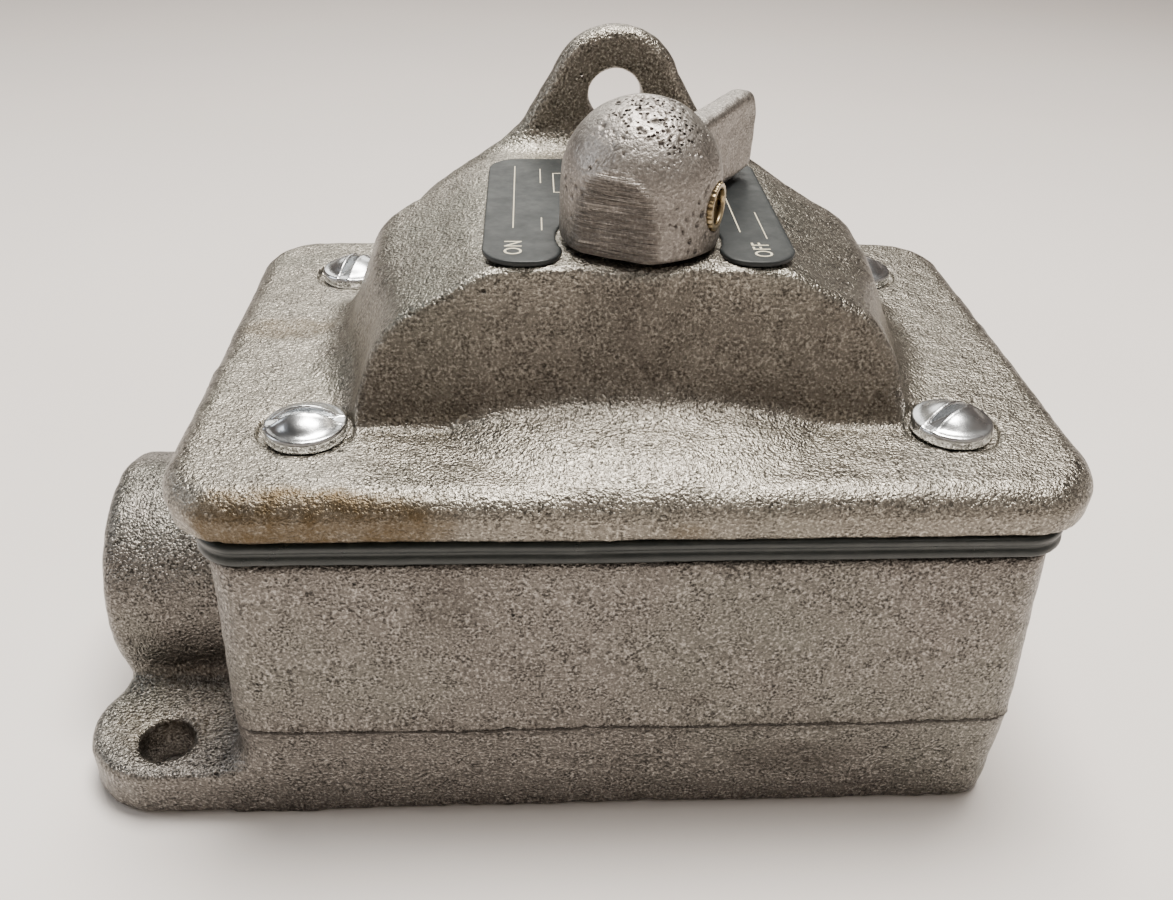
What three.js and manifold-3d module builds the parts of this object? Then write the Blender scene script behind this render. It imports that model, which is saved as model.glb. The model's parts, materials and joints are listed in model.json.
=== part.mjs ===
// Rotary isolator switch in a cast aluminium box, with a padlockable external handle.
//
// Millimetres. The origin is the centre of the box's back face, which lies on the wall; +Z points out
// of the cover, -X towards the conduit hub, and -Y is the side that the handle's shaft is nearest to.
// The model rests in the OFF position: the handle's blade points to +X and +Y, away from its shaft.
//
// The handle turns a shaft in the cover. A slotted fork on the shaft's inner end straddles the lever
// of a two-pole toggle switch, which hangs on a strap inside the box, and throws it from side to side.

import * as THREE from 'three';
import { mergeVertices } from 'three/addons/utils/BufferGeometryUtils.js';
import { ConvexGeometry } from 'three/addons/geometries/ConvexGeometry.js';
import Module from 'manifold-3d';

const wasm = await Module();
wasm.setup();

// ---------------------------------------------------------------- driving dimensions

const GAP = 0.3; // clearance between pieces that touch
const DEG = Math.PI / 180;

const box = {
  top: 43.3,
  parting: 16.4, // height of the mould line round the walls
  wall: 5.2,
  floor: 4.5,
  cornerRadius: 5,
  halfX: { bottom: 52.4, parting: 53, top: 52.2 },
  halfY: { bottom: 39.2, parting: 39.9, top: 39 },
};
const gasket = { bottom: box.top + GAP, thickness: 3.2, halfX: 53.6, halfY: 39.4, flange: 7, radius: 6 };
const cover = {
  bottom: gasket.bottom + gasket.thickness + GAP,
  top: 53.4,
  halfX: 57.5,
  halfY: 40,
  cornerRadius: 10,
  edgeRadius: 3.7,
};
const coverScrew = {
  x: 41,
  y: 24,
  radius: 2.7,
  hole: 3,
  headRadius: 5.3,
  headHeight: 3.5,
  slotWidth: 1.4,
  slotDepth: 1.7,
  tip: 24,
};
const spotface = { radius: 6, depth: 0.8 };
const screwPost = { radius: 6.5, holeBottom: 21 };
const slotTurns = [-4, 34, 70, 20]; // each cover screw's slot, in degrees from +X

// The dome's outer corners on the +X side, from front to rear at each of five levels: its foot inside
// the cover's rim, the rim, the shoulders, and the lower and upper edges of its top. sink is how far
// below these the corners of the hollow under it lie.
const dome = {
  wall: 4.6,
  top: 74,
  levels: [
    { sink: 0, corners: [[34.6, -24.3, 50], [40.5, -5, 50], [40.8, 11, 50], [37, 30.4, 50]] },
    { sink: 0, corners: [[34, -24, 53.4], [39.5, -5, 53.4], [39.8, 11, 53.4], [36, 30, 53.4]] },
    { sink: 2.8, corners: [[28.3, -22.6, 67.5], [33.2, -5, 67.5], [34.6, 11, 67.4], [31.4, 28, 66.2]] },
    { sink: 5.3, corners: [[18.8, -22, 72.6], [21.6, -4, 72.8], [21.6, 11, 72.8], [20.3, 27, 72.7]] },
    { sink: 5.3, corners: [[17, -21, 74], [18.6, -5, 74], [18.6, 11, 74], [17.6, 26.4, 74]] },
  ],
};
// The boss for the handle's shaft, as [radius, height] points, with a foot that flares over the rim.
const bossProfile = [
  [0, 49], [26, 49], [26, 52.6], [24.5, 54], [20, 55.7], [15.5, 57.3], [12.3, 59.6], [10.8, 63],
  [10.2, dome.top], [0, dome.top],
];
const ear = {
  front: 24.4,
  thickness: 4.8,
  holeRadius: 4,
  holeHeight: 81.6,
  tipRadius: 10,
  tipTurn: 25 * DEG, // where the round tip meets the flanks
  flankHalf: 11.6, // half the ear's width level with its hole
  footHalf: 18,
  heelHalf: 16,
};
const nameplate = { halfX: 19.1, x: 0.4, front: -21.5, rear: 16.8, radius: 4.5, thickness: 0.6, notch: 10.6 };

const hub = {
  end: -74,
  y: -4.5,
  z: 17.5,
  radius: 17,
  bore: 12.9,
  stopBore: 10.4,
  stop: -57,
  edge: 2.4,
  sides: 32,
};
const hubFoot = { front: -22, rear: 7.5, top: 9 };
const lug = {
  x: 64.3,
  y: 28.5,
  radius: 11,
  thickness: 8,
  holeX: 64,
  holeY: 32.4,
  holeRadius: 3.6,
  root: 17.5,
  sides: 20,
};

const handle = {
  x: 0.6,
  y: -13.5,
  bottom: 75,
  radius: 10,
  centre: 82.2,
  offTurn: -33 * DEG, // the blade's direction at OFF, from +Y
  bladeReach: 31.5,
  bladeThickness: 5,
  bladeBottom: 75.7,
  bladeTop: 85.8,
};
const setScrew = { z: 80.2, turn: 8 * DEG, radius: 2.5, end: 8.3, hole: 2.8, mouth: 3.3, socket: 1.3 };
const shaft = {
  radius: 3.175,
  bottom: 56.4,
  top: 87,
  edge: 0.4,
  groove: { radius: 2.6, bottom: 63.8, top: 64.9 },
};
const bushing = { outer: 5.2, inner: 3.5, bottom: 66.3, top: 72, housing: 9.4, well: 7.6 };
const thrustWasher = { inner: 3.5, outer: 6.4, bottom: 65.05, top: 65.7 };
const retainingRing = { inner: 2.9, outer: 5.4, bottom: 64.05, top: 64.65, opening: 3.2 };
const oRing = { radius: 4.35, z: 73.1, halfWidth: 0.82, halfHeight: 0.75 };
const fork = {
  bottom: 58.5,
  top: 61,
  hubRadius: 6,
  hubBottom: 57.6,
  hubTop: 63.4,
  reach: 24.6,
  throat: 13, // where the slot starts
  slot: 7.8,
  arm: 3,
  screwZ: 62,
  screwHole: 1.5,
  screwRadius: 1.2,
};

const device = {
  x: handle.x,
  y: 3.5,
  bottom: 9,
  split: 20,
  top: 38,
  halfX: 20,
  halfY: 16,
  wall: 2.8,
  floor: 2.6,
};
const terminal = { ledgeTop: 17.9, ledge: 7.5, screwX: 3.8, screwHole: 1.7, slotHalf: 2.8, stripEnd: 26.6 };
const leverRoom = { ceiling: 31, pocketX: 9, pocketY: 5.4, pocketTop: 36, mouthX: 8.4, mouthY: 3.6 };
const contact = {
  inner: 10.6,
  outer: 11.9,
  halfY: 2.4,
  bottom: 17,
  top: 24,
  stripBottom: 18.2,
  stripTop: 19.3,
  hole: 1.8,
};
const pivot = { z: 34.5, radius: 1.5, hub: 4.4, pinHalf: 8.6, barrelHalf: 3.2 };
const toggleTilt = 23.1 * DEG; // the lever's lean at either end of its throw
const strap = {
  bottom: 38.3,
  thickness: 1.6,
  halfX: 44.5,
  halfY: 8,
  screwX: 40,
  windowX: 10.5,
  windowY: 5,
  hole: 2.2,
};
const strapLug = { halfX: 5.5, halfY: 5.5, bottom: 31, holeBottom: 32.5, hole: 2 };
const poles = [-10.5, -3.5, 3.5, 10.5]; // the four contacts across the switch, from its centre line
const bridges = [-7, 7]; // each joins two contacts
const ground = { x: 29, y: -24, bossRadius: 4.5, bossTop: 8.5, hole: 2, holeBottom: 5.5 };

// Small slotted screws: thread and head radii, the head's height and the height of the tip.
const strapScrew = { radius: 1.7, head: 3.5, height: 2.2, tip: 33 };
const terminalScrew = { radius: 1.4, head: 2.6, height: 1.7, tip: 12.6 };
const groundScrew = { radius: 1.7, head: 3.4, height: 2, tip: 5.9 };

// ---------------------------------------------------------------- materials

const castAluminium = new THREE.MeshStandardMaterial({ color: 0x9f9a92, roughness: 0.55, metalness: 0.85 });
const gasketRubber = new THREE.MeshStandardMaterial({ color: 0x1d2321, roughness: 0.45, metalness: 0 });
const zincSteel = new THREE.MeshStandardMaterial({ color: 0xc3c7ca, roughness: 0.28, metalness: 1 });
const turnedSteel = new THREE.MeshStandardMaterial({ color: 0x9aa0a4, roughness: 0.35, metalness: 1 });
const brass = new THREE.MeshStandardMaterial({ color: 0xb8934a, roughness: 0.35, metalness: 1 });
const blackEnamel = new THREE.MeshStandardMaterial({ color: 0x17191a, roughness: 0.4, metalness: 0.2 });
const phenolic = new THREE.MeshStandardMaterial({ color: 0x2a211c, roughness: 0.5, metalness: 0 });

// ---------------------------------------------------------------- solids

// A closed three.js geometry as a solid that can be joined and cut.
function solid(geometry) {
  geometry.deleteAttribute('normal');
  geometry.deleteAttribute('uv');
  const merged = mergeVertices(geometry, 1e-4);
  const index = Array.from(merged.index.array);
  const triVerts = [];
  for (let i = 0; i < index.length; i += 3) {
    const [a, b, c] = index.slice(i, i + 3);
    if (a !== b && b !== c && c !== a) triVerts.push(a, b, c);
  }
  const mesh = new wasm.Mesh({
    numProp: 3,
    vertProperties: new Float32Array(merged.attributes.position.array),
    triVerts: new Uint32Array(triVerts),
  });
  return new wasm.Manifold(mesh);
}

function join(...parts) {
  return parts.reduce((whole, part) => whole.add(part));
}

function cut(body, ...tools) {
  return tools.reduce((left, tool) => left.subtract(tool), body);
}

function toMesh(name, body, material) {
  const { vertProperties, triVerts } = body.getMesh();
  const geometry = new THREE.BufferGeometry();
  geometry.setAttribute('position', new THREE.BufferAttribute(vertProperties, 3));
  geometry.setIndex(new THREE.BufferAttribute(triVerts, 1));
  geometry.computeVertexNormals();
  const mesh = new THREE.Mesh(geometry, material);
  mesh.name = name;
  return mesh;
}

function block(x0, x1, y0, y1, z0, z1) {
  const geometry = new THREE.BoxGeometry(x1 - x0, y1 - y0, z1 - z0);
  return solid(geometry.translate((x0 + x1) / 2, (y0 + y1) / 2, (z0 + z1) / 2));
}

function post(radius, z0, z1, x = 0, y = 0, sides = 16) {
  const geometry = new THREE.CylinderGeometry(radius, radius, z1 - z0, sides);
  return solid(geometry.rotateX(Math.PI / 2).translate(x, y, (z0 + z1) / 2));
}

function rodX(radius, x0, x1, y, z, sides = 16) {
  const geometry = new THREE.CylinderGeometry(radius, radius, x1 - x0, sides);
  return solid(geometry.rotateZ(Math.PI / 2).translate((x0 + x1) / 2, y, z));
}

function rodY(radius, y0, y1, x, z, sides = 14) {
  const geometry = new THREE.CylinderGeometry(radius, radius, y1 - y0, sides);
  return solid(geometry.translate(x, (y0 + y1) / 2, z));
}

// A profile of [radius, height] points turned about the Z axis.
function turned(profile, sides = 24) {
  const points = profile.map(([radius, height]) => new THREE.Vector2(radius, height));
  return solid(new THREE.LatheGeometry(points, sides).rotateX(Math.PI / 2));
}

function roundedRectangle(halfX, halfY, radius) {
  const shape = new THREE.Shape();
  const x = halfX - radius;
  const y = halfY - radius;
  shape.absarc(x, y, radius, 0, Math.PI / 2);
  shape.absarc(-x, y, radius, Math.PI / 2, Math.PI);
  shape.absarc(-x, -y, radius, Math.PI, Math.PI * 1.5);
  shape.absarc(x, -y, radius, Math.PI * 1.5, Math.PI * 2);
  shape.closePath();
  return shape;
}

function slab(shape, z0, z1, curveSegments = 3) {
  const geometry = new THREE.ExtrudeGeometry(shape, { depth: z1 - z0, bevelEnabled: false, curveSegments });
  return solid(geometry.translate(0, 0, z0));
}

// A plate along Y from a shape drawn in X and Z.
function uprightPlate(shape, y0, y1, curveSegments = 6) {
  const geometry = new THREE.ExtrudeGeometry(shape, { depth: y1 - y0, bevelEnabled: false, curveSegments });
  return solid(geometry.rotateX(Math.PI / 2).translate(0, y1, 0));
}

function hull(points) {
  return solid(new ConvexGeometry(points));
}

function rounded(halfX, halfY, radius, z) {
  return roundedRectangle(halfX, halfY, radius).getPoints(2).map((p) => new THREE.Vector3(p.x, p.y, z));
}

// ---------------------------------------------------------------- box

const cornerSigns = [[-1, -1], [1, -1], [-1, 1], [1, 1]];

function boxShell() {
  const { halfX, halfY, cornerRadius } = box;
  return hull([
    ...rounded(halfX.bottom, halfY.bottom, cornerRadius, 0),
    ...rounded(halfX.parting, halfY.parting, cornerRadius, box.parting),
    ...rounded(halfX.top, halfY.top, cornerRadius, box.top),
  ]);
}

// One mounting lug beside the box: side is -1 at the hub end and 1 at the other.
function mountingLug(side) {
  const outline = [];
  for (let i = 0; i < lug.sides; i += 1) {
    const turn = (i / lug.sides) * Math.PI * 2;
    outline.push([lug.x + lug.radius * Math.cos(turn), lug.y + lug.radius * Math.sin(turn)]);
  }
  const inside = box.halfX.bottom - 3;
  outline.push([inside, lug.root], [inside, lug.y + lug.radius]);
  const points = outline.flatMap(([x, y]) => [
    new THREE.Vector3(side * x, side * y, 0),
    new THREE.Vector3(side * x, side * y, lug.thickness),
  ]);
  return hull(points);
}

function lugHole(side) {
  return post(lug.holeRadius, -1, lug.thickness + 1, side * lug.holeX, side * lug.holeY, 16);
}

function conduitHub() {
  const { end, y, z, radius, edge, sides } = hub;
  const root = -box.halfX.bottom + 2;
  const reach = root - end;
  const lip = [[0, 0], [radius - edge, 0], [radius - 0.3 * edge, 0.3 * edge], [radius, edge]];
  const profile = [...lip, [radius, reach], [0, reach]];
  const barrel = turned(profile, sides).rotate([0, 90, 0]).translate([end, y, z]);
  return join(barrel, block(end + 1, root, hubFoot.front, hubFoot.rear, 0, hubFoot.top));
}

// A bracket on the inside of an end wall, which the switch's strap is screwed to.
function switchLug(side) {
  const { halfX, halfY, bottom } = strapLug;
  const wallSide = side * (box.halfX.top - 3);
  const inner = device.x + side * (strap.screwX - halfX);
  const [x0, x1] = [Math.min(wallSide, inner), Math.max(wallSide, inner)];
  return block(x0, x1, device.y - halfY, device.y + halfY, bottom, strap.bottom - GAP);
}

// A tool or post at each of the cover's four screws.
function atCorners(radius, z0, z1, sides) {
  return cornerSigns.map(([sx, sy]) => post(radius, z0, z1, sx * coverScrew.x, sy * coverScrew.y, sides));
}

function boxBody() {
  const insideX = box.halfX.top - box.wall;
  const insideY = box.halfY.top - box.wall;
  const cavity = slab(roundedRectangle(insideX, insideY, 4), box.floor, box.top + 5);
  let body = cut(join(boxShell(), mountingLug(-1), mountingLug(1), conduitHub()), cavity);
  body = cut(
    body,
    rodX(hub.bore, hub.end - 1, hub.stop, hub.y, hub.z, hub.sides),
    rodX(hub.stopBore, hub.stop - 1, -insideX + 1, hub.y, hub.z, hub.sides),
    lugHole(-1),
    lugHole(1),
  );
  const groundBoss = post(ground.bossRadius, box.floor - 1, ground.bossTop, ground.x, ground.y);
  const posts = atCorners(screwPost.radius, box.floor - 1, box.top);
  body = join(body, ...posts, switchLug(-1), switchLug(1), groundBoss);
  const strapHoles = [-1, 1].map((side) =>
    post(strapLug.hole, strapLug.holeBottom, strap.bottom + 1, device.x + side * strap.screwX, device.y, 12));
  const groundHole = post(ground.hole, ground.holeBottom, ground.bossTop + 1, ground.x, ground.y, 12);
  const postHoles = atCorners(coverScrew.hole, screwPost.holeBottom, box.top + 1);
  return cut(body, ...postHoles, ...strapHoles, groundHole);
}

function gasketBody() {
  const { halfX, halfY, flange, radius, bottom, thickness } = gasket;
  const z1 = bottom + thickness;
  const ring = cut(
    slab(roundedRectangle(halfX, halfY, radius), bottom, z1),
    slab(roundedRectangle(halfX - flange, halfY - flange + 1, 3), bottom - 1, z1 + 1),
  );
  const tabs = atCorners(screwPost.radius, bottom, z1);
  return cut(join(ring, ...tabs), ...atCorners(coverScrew.hole + 0.2, bottom - 1, z1 + 1));
}

// ---------------------------------------------------------------- cover

function coverPlate() {
  const { halfX, halfY, cornerRadius, edgeRadius, bottom, top } = cover;
  const geometry = new THREE.ExtrudeGeometry(roundedRectangle(halfX, halfY, cornerRadius), {
    depth: top - bottom,
    bevelEnabled: true,
    bevelThickness: edgeRadius,
    bevelSize: edgeRadius,
    bevelOffset: -edgeRadius,
    bevelSegments: 3,
    curveSegments: 3,
  });
  const raised = solid(geometry.translate(0, 0, bottom - edgeRadius));
  const below = block(-halfX - 1, halfX + 1, -halfY - 1, halfY + 1, bottom - 2 * edgeRadius, bottom);
  return cut(raised, below);
}

function bothSides([x, y, z]) {
  return [new THREE.Vector3(x, y, z), new THREE.Vector3(-x, y, z)];
}

function domeOutside() {
  return hull(dome.levels.flatMap(({ corners }) => corners.flatMap(bothSides)));
}

// The hollow under the dome, a wall's thickness inside it and open at the bottom.
function domeInside() {
  const inner = dome.levels.flatMap(({ sink, corners }) => {
    const last = corners.length - 1;
    return corners.map(([x, y, z], i) => {
      const inset = { 0: dome.wall, [last]: -dome.wall }[i] ?? 0;
      return [x - dome.wall, y + inset, z - sink];
    });
  });
  const open = inner.slice(0, 4).map(([x, y]) => [x, y, cover.bottom - 1]);
  return hull([...open, ...inner].flatMap(bothSides));
}

function padlockEar() {
  const { tipRadius, tipTurn, flankHalf, footHalf, heelHalf, holeHeight, holeRadius, front, thickness } = ear;
  const shape = new THREE.Shape();
  const foot = dome.top - 2;
  const flankTop = holeHeight + 0.4;
  const bendX = (flankHalf + footHalf) / 2 - 1;
  const bendZ = dome.top + 3;
  shape.moveTo(-footHalf - 1, foot);
  shape.lineTo(footHalf + 1, foot);
  shape.lineTo(footHalf, dome.top);
  shape.quadraticCurveTo(bendX, bendZ, flankHalf, flankTop);
  shape.lineTo(tipRadius * Math.cos(tipTurn), holeHeight + tipRadius * Math.sin(tipTurn));
  shape.absarc(0, holeHeight, tipRadius, tipTurn, Math.PI - tipTurn);
  shape.lineTo(-flankHalf, flankTop);
  shape.quadraticCurveTo(-bendX, bendZ, -footHalf, dome.top);
  shape.closePath();
  const plate = uprightPlate(shape, front, front + thickness);
  const heel = block(-heelHalf, heelHalf, front, front + thickness - 1, foot - 4, dome.top - 1);
  return cut(join(plate, heel), rodY(holeRadius, front - 1, front + thickness + 1, 0, holeHeight, 20));
}

function coverBody() {
  const { x, y } = handle;
  const boss = turned(bossProfile, 32).translate([x, y, 0]);
  let body = join(coverPlate(), domeOutside(), boss, padlockEar());
  body = cut(body, domeInside(), post(bushing.well, cover.bottom - 1, bushing.bottom - 0.4, x, y, 24));
  body = join(body, post(bushing.housing, bushing.bottom - GAP, dome.top, x, y, 24));
  return cut(
    body,
    post(bushing.outer + GAP, bushing.bottom - 2, dome.top + 1, x, y, 24),
    ...atCorners(coverScrew.hole, cover.bottom - 1, cover.top + 1),
    ...atCorners(spotface.radius, cover.top - spotface.depth, cover.top + 3, 20),
  );
}

// Profile points of a round top that starts at a height and rises to the axis.
function roundTop(radius, start, rise, steps) {
  const points = [];
  for (let i = 0; i < steps; i += 1) {
    const turn = ((i / steps) * Math.PI) / 2;
    points.push([radius * Math.cos(turn), start + rise * Math.sin(turn)]);
  }
  return [...points, [0, start + rise]];
}

function slottedHead(radius, height, slotWidth, slotDepth, sides, rings) {
  const rim = 0.5;
  const profile = [[0, 0], [radius, 0], ...roundTop(radius, rim, height - rim, rings)];
  const slot = block(-radius - 1, radius + 1, -slotWidth / 2, slotWidth / 2, height - slotDepth, height + 1);
  return cut(turned(profile, sides), slot);
}

function coverScrewBody(turn) {
  const seat = cover.top - spotface.depth + GAP;
  const { radius, headRadius, headHeight, slotWidth, slotDepth, tip } = coverScrew;
  const head = slottedHead(headRadius, headHeight, slotWidth, slotDepth, 18, 4).rotate([0, 0, turn]);
  return join(head.translate([0, 0, seat]), post(radius, tip, seat + 0.5, 0, 0, 12));
}

// A plate on top of the dome, with a bay for the handle that is open to the front.
function nameplateBody() {
  const { halfX, x, front, rear, radius, thickness, notch } = nameplate;
  const z0 = dome.top + 0.2;
  const z1 = z0 + thickness;
  const outline = roundedRectangle(halfX, (rear - front) / 2, radius);
  const plate = slab(outline, z0, z1, 5).translate([x, (front + rear) / 2, 0]);
  const mouth = block(handle.x - notch, handle.x + notch, front - 1, handle.y, z0 - 1, z1 + 1);
  return cut(plate, post(notch, z0 - 1, z1 + 1, handle.x, handle.y, 24), mouth);
}

// ---------------------------------------------------------------- handle and its shaft
// These are drawn about the shaft's axis with the blade along +Y.

function handleBody() {
  const { radius, centre, bottom, bladeReach, bladeThickness, bladeBottom, bladeTop } = handle;
  const foot = [[0, bottom], [radius - 0.5, bottom], [radius, bottom + 0.5]];
  const knob = turned([...foot, ...roundTop(radius, centre, radius, 6)], 28);
  const blade = new THREE.Shape();
  blade.moveTo(4, bladeBottom);
  blade.lineTo(bladeReach - 0.8, bladeBottom);
  blade.lineTo(bladeReach, bladeBottom + 0.8);
  blade.lineTo(bladeReach, bladeTop - 3);
  blade.quadraticCurveTo(bladeReach, bladeTop, bladeReach - 3, bladeTop);
  blade.quadraticCurveTo(16, bladeTop - 1.4, 4, bladeTop - 0.6);
  blade.closePath();
  const options = { depth: bladeThickness, bevelEnabled: false, curveSegments: 5 };
  const flat = new THREE.ExtrudeGeometry(blade, options);
  // The shape's X and Y become +Y and +Z.
  flat.rotateY(Math.PI / 2).rotateX(Math.PI / 2).translate(-bladeThickness / 2, 0, 0);
  const bore = post(shaft.radius + GAP, bottom - 1, shaft.top + GAP, 0, 0, 16);
  const screwHole = rodX(setScrew.hole, 2, radius + 2, 0, 0, 14);
  const mouth = rodX(setScrew.mouth, radius - 1.2, radius + 2, 0, 0, 14);
  const side = join(screwHole, mouth).rotate([0, 0, setScrew.turn / DEG]).translate([0, 0, setScrew.z]);
  return cut(join(knob, solid(flat)), bore, side);
}

function handleSetScrewBody() {
  const { radius, socket, end, turn, z } = setScrew;
  const body = rodX(radius, shaft.radius + GAP, end, 0, 0, 16);
  return cut(body, rodX(socket, end - 2, end + 1, 0, 0, 6)).rotate([0, 0, turn / DEG]).translate([0, 0, z]);
}

function shaftBody() {
  const { radius, bottom, top, edge, groove } = shaft;
  const profile = [
    [0, bottom], [radius - edge, bottom], [radius, bottom + edge],
    [radius, groove.bottom], [groove.radius, groove.bottom],
    [groove.radius, groove.top], [radius, groove.top],
    [radius, top - edge], [radius - edge, top], [0, top],
  ];
  return turned(profile, 16);
}

function washer({ inner, outer, bottom, top }, sides = 16) {
  return cut(post(outer, bottom, top, 0, 0, sides), post(inner, bottom - 1, top + 1, 0, 0, sides));
}

function retainingRingBody() {
  const { outer, bottom, top, opening } = retainingRing;
  return cut(washer(retainingRing), block(-opening / 2, opening / 2, -outer - 1, 0, bottom - 1, top + 1));
}

function oRingBody() {
  const { radius, z, halfWidth, halfHeight } = oRing;
  const sides = 6;
  const section = [];
  for (let i = 0; i < sides; i += 1) {
    const turn = (i / sides) * Math.PI * 2;
    section.push([radius + halfWidth * Math.cos(turn), z + halfHeight * Math.sin(turn)]);
  }
  return turned([...section, section[0]], 20).translate([handle.x, handle.y, 0]);
}

function forkBody() {
  const { bottom, top, hubRadius, hubBottom, hubTop, reach, throat, slot, arm } = fork;
  const half = slot / 2 + arm;
  const body = join(post(hubRadius, hubBottom, hubTop), block(-half, half, 2, reach, bottom, top));
  return cut(
    body,
    post(shaft.radius + GAP, hubBottom - 1, hubTop + 1),
    block(-slot / 2, slot / 2, throat, reach + 1, bottom - 1, top + 1),
    rodY(fork.screwHole, -hubRadius - 1, -2, 0, fork.screwZ, 12),
  );
}

function forkSetScrewBody() {
  return rodY(fork.screwRadius, -fork.hubRadius + GAP, -shaft.radius - GAP, 0, fork.screwZ, 12);
}

// ---------------------------------------------------------------- toggle switch
// Its fixed pieces are drawn about the switch's centre line, x = 0 and y = 0, at their real heights.

function switchBaseBody() {
  const { bottom, split, halfX, halfY, wall, floor } = device;
  const { ledgeTop, ledge, screwX, screwHole, slotHalf } = terminal;
  const [insideX, insideY] = [halfX - wall, halfY - wall];
  const outer = block(-halfX, halfX, -halfY, halfY, bottom, split - GAP);
  const shelf = block(halfX - 1, halfX + ledge, -halfY, halfY, bottom, ledgeTop);
  const inside = block(-insideX, insideX, -insideY, insideY, bottom + floor, split + 1);
  const slots = poles.map((y) =>
    block(insideX - 1, halfX + 1, y - slotHalf, y + slotHalf, ledgeTop, split + 1));
  const holes = poles.map((y) =>
    post(screwHole, terminalScrew.tip - 2 * GAP, ledgeTop + 1, halfX + screwX, y, 10));
  return cut(join(outer, shelf), inside, ...slots, ...holes);
}

function switchHousingBody() {
  const { split, top, halfX, halfY, wall } = device;
  const { ceiling, pocketX, pocketY, pocketTop, mouthX, mouthY } = leverRoom;
  const [insideX, insideY] = [halfX - wall, halfY - wall];
  const outer = block(-halfX, halfX, -halfY, halfY, split, top);
  const inside = block(-insideX, insideX, -insideY, insideY, split - 1, ceiling);
  const pocket = block(-pocketX, pocketX, -pocketY, pocketY, ceiling - 1, pocketTop);
  const mouth = block(-mouthX, mouthX, -mouthY, mouthY, pocketTop - 1, top + 1);
  const pinHole = rodY(pivot.radius + GAP, -pivot.pinHalf - 0.4, pivot.pinHalf + 0.4, 0, pivot.z);
  return cut(outer, inside, pocket, mouth, pinHole);
}

function pivotPinBody() {
  return rodY(pivot.radius, -pivot.pinHalf, pivot.pinHalf, 0, pivot.z);
}

function strapBody() {
  const { bottom, thickness, halfX, halfY, screwX, windowX, windowY, hole } = strap;
  const top = bottom + thickness;
  const plate = slab(roundedRectangle(halfX, halfY, 3), bottom, top);
  const window = block(-windowX, windowX, -windowY, windowY, bottom - 1, top + 1);
  const holes = [-1, 1].map((side) => post(hole, bottom - 1, top + 1, side * screwX, 0, 14));
  return cut(plate, window, ...holes);
}

function smallScrew({ radius, head, height, tip }, seat) {
  const slot = 0.9;
  const top = slottedHead(head, height, slot, slot, 10, 2).translate([0, 0, seat]);
  return join(top, post(radius, tip, seat + 0.5, 0, 0, 8));
}

function fixedContactBody(y) {
  const { inner, outer, halfY, bottom, top, stripBottom, stripTop, hole } = contact;
  const tab = block(inner, outer, y - halfY, y + halfY, bottom, top);
  const strip = block(inner, terminal.stripEnd, y - halfY, y + halfY, stripBottom, stripTop);
  const screwHole = post(hole, stripBottom - 1, stripTop + 1, device.halfX + terminal.screwX, y, 12);
  return cut(join(tab, strip), screwHole);
}

// The moving pieces of the switch are drawn about the pivot, with the lever upright.
const leverProfile = [[0, 0], [3.4, 0], [3.1, 10], [2.6, 22], [2.6, 27.4], [1.8, 29.3], [0, 30]];
const carrier = { bottom: -16.2, top: -11, halfX: 2.4, halfY: 12.6, stem: 1.6 };
const bridge = { thickness: 1.1, halfY: 5.6, margin: 0.5 };
const spring = { wire: 0.4, radius: 2.7, turns: 3.5 };

function toggleLeverBody() {
  const barrel = rodY(pivot.hub, -pivot.barrelHalf, pivot.barrelHalf, 0, 0, 16);
  const stem = post(carrier.stem, carrier.top + 2 * GAP, 0, 0, 0, 12);
  const bore = rodY(pivot.radius + GAP, -pivot.barrelHalf - 1, pivot.barrelHalf + 1, 0, 0);
  return cut(join(turned(leverProfile, 14), barrel, stem), bore);
}

function carrierBody() {
  const { halfX, halfY, bottom, top, stem } = carrier;
  const bar = block(-halfX, halfX, -halfY, halfY, bottom, top);
  return cut(bar, post(stem + GAP, top - 3, top + 1, 0, 0, 12));
}

function contactBridgeBody(y) {
  const { thickness, halfY, margin } = bridge;
  const x0 = carrier.halfX + GAP;
  return block(x0, x0 + thickness, y - halfY, y + halfY, carrier.bottom + margin, carrier.top - margin);
}

class Helix extends THREE.Curve {
  constructor(radius, z0, z1, turns) {
    super();
    Object.assign(this, { radius, z0, z1, turns });
  }

  getPoint(t, target = new THREE.Vector3()) {
    const turn = t * this.turns * Math.PI * 2;
    const z = this.z0 + (this.z1 - this.z0) * t;
    return target.set(this.radius * Math.cos(turn), this.radius * Math.sin(turn), z);
  }
}

function springBody() {
  const { wire, radius, turns } = spring;
  const section = new THREE.Shape();
  section.absarc(0, 0, wire, 0, Math.PI * 2);
  const path = new Helix(radius, carrier.top + wire + GAP, -pivot.hub - wire - GAP, turns);
  return solid(new THREE.ExtrudeGeometry(section, { steps: 36, extrudePath: path, curveSegments: 2 }));
}

// ---------------------------------------------------------------- assembly

const isolator = new THREE.Group();

function addBox() {
  isolator.add(toMesh('base_box', boxBody(), castAluminium));
  isolator.add(toMesh('cover_gasket', gasketBody(), gasketRubber));
  isolator.add(toMesh('cover', coverBody(), castAluminium));
  isolator.add(toMesh('nameplate', nameplateBody(), blackEnamel));
  cornerSigns.forEach(([sx, sy], i) => {
    const screw = toMesh(`cover_screw_${i + 1}`, coverScrewBody(slotTurns[i]), zincSteel);
    screw.position.set(sx * coverScrew.x, sy * coverScrew.y, 0);
    isolator.add(screw);
  });
  const bonding = toMesh('ground_screw', smallScrew(groundScrew, ground.bossTop + GAP), brass);
  bonding.position.set(ground.x, ground.y, 0);
  isolator.add(bonding);
}

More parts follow.
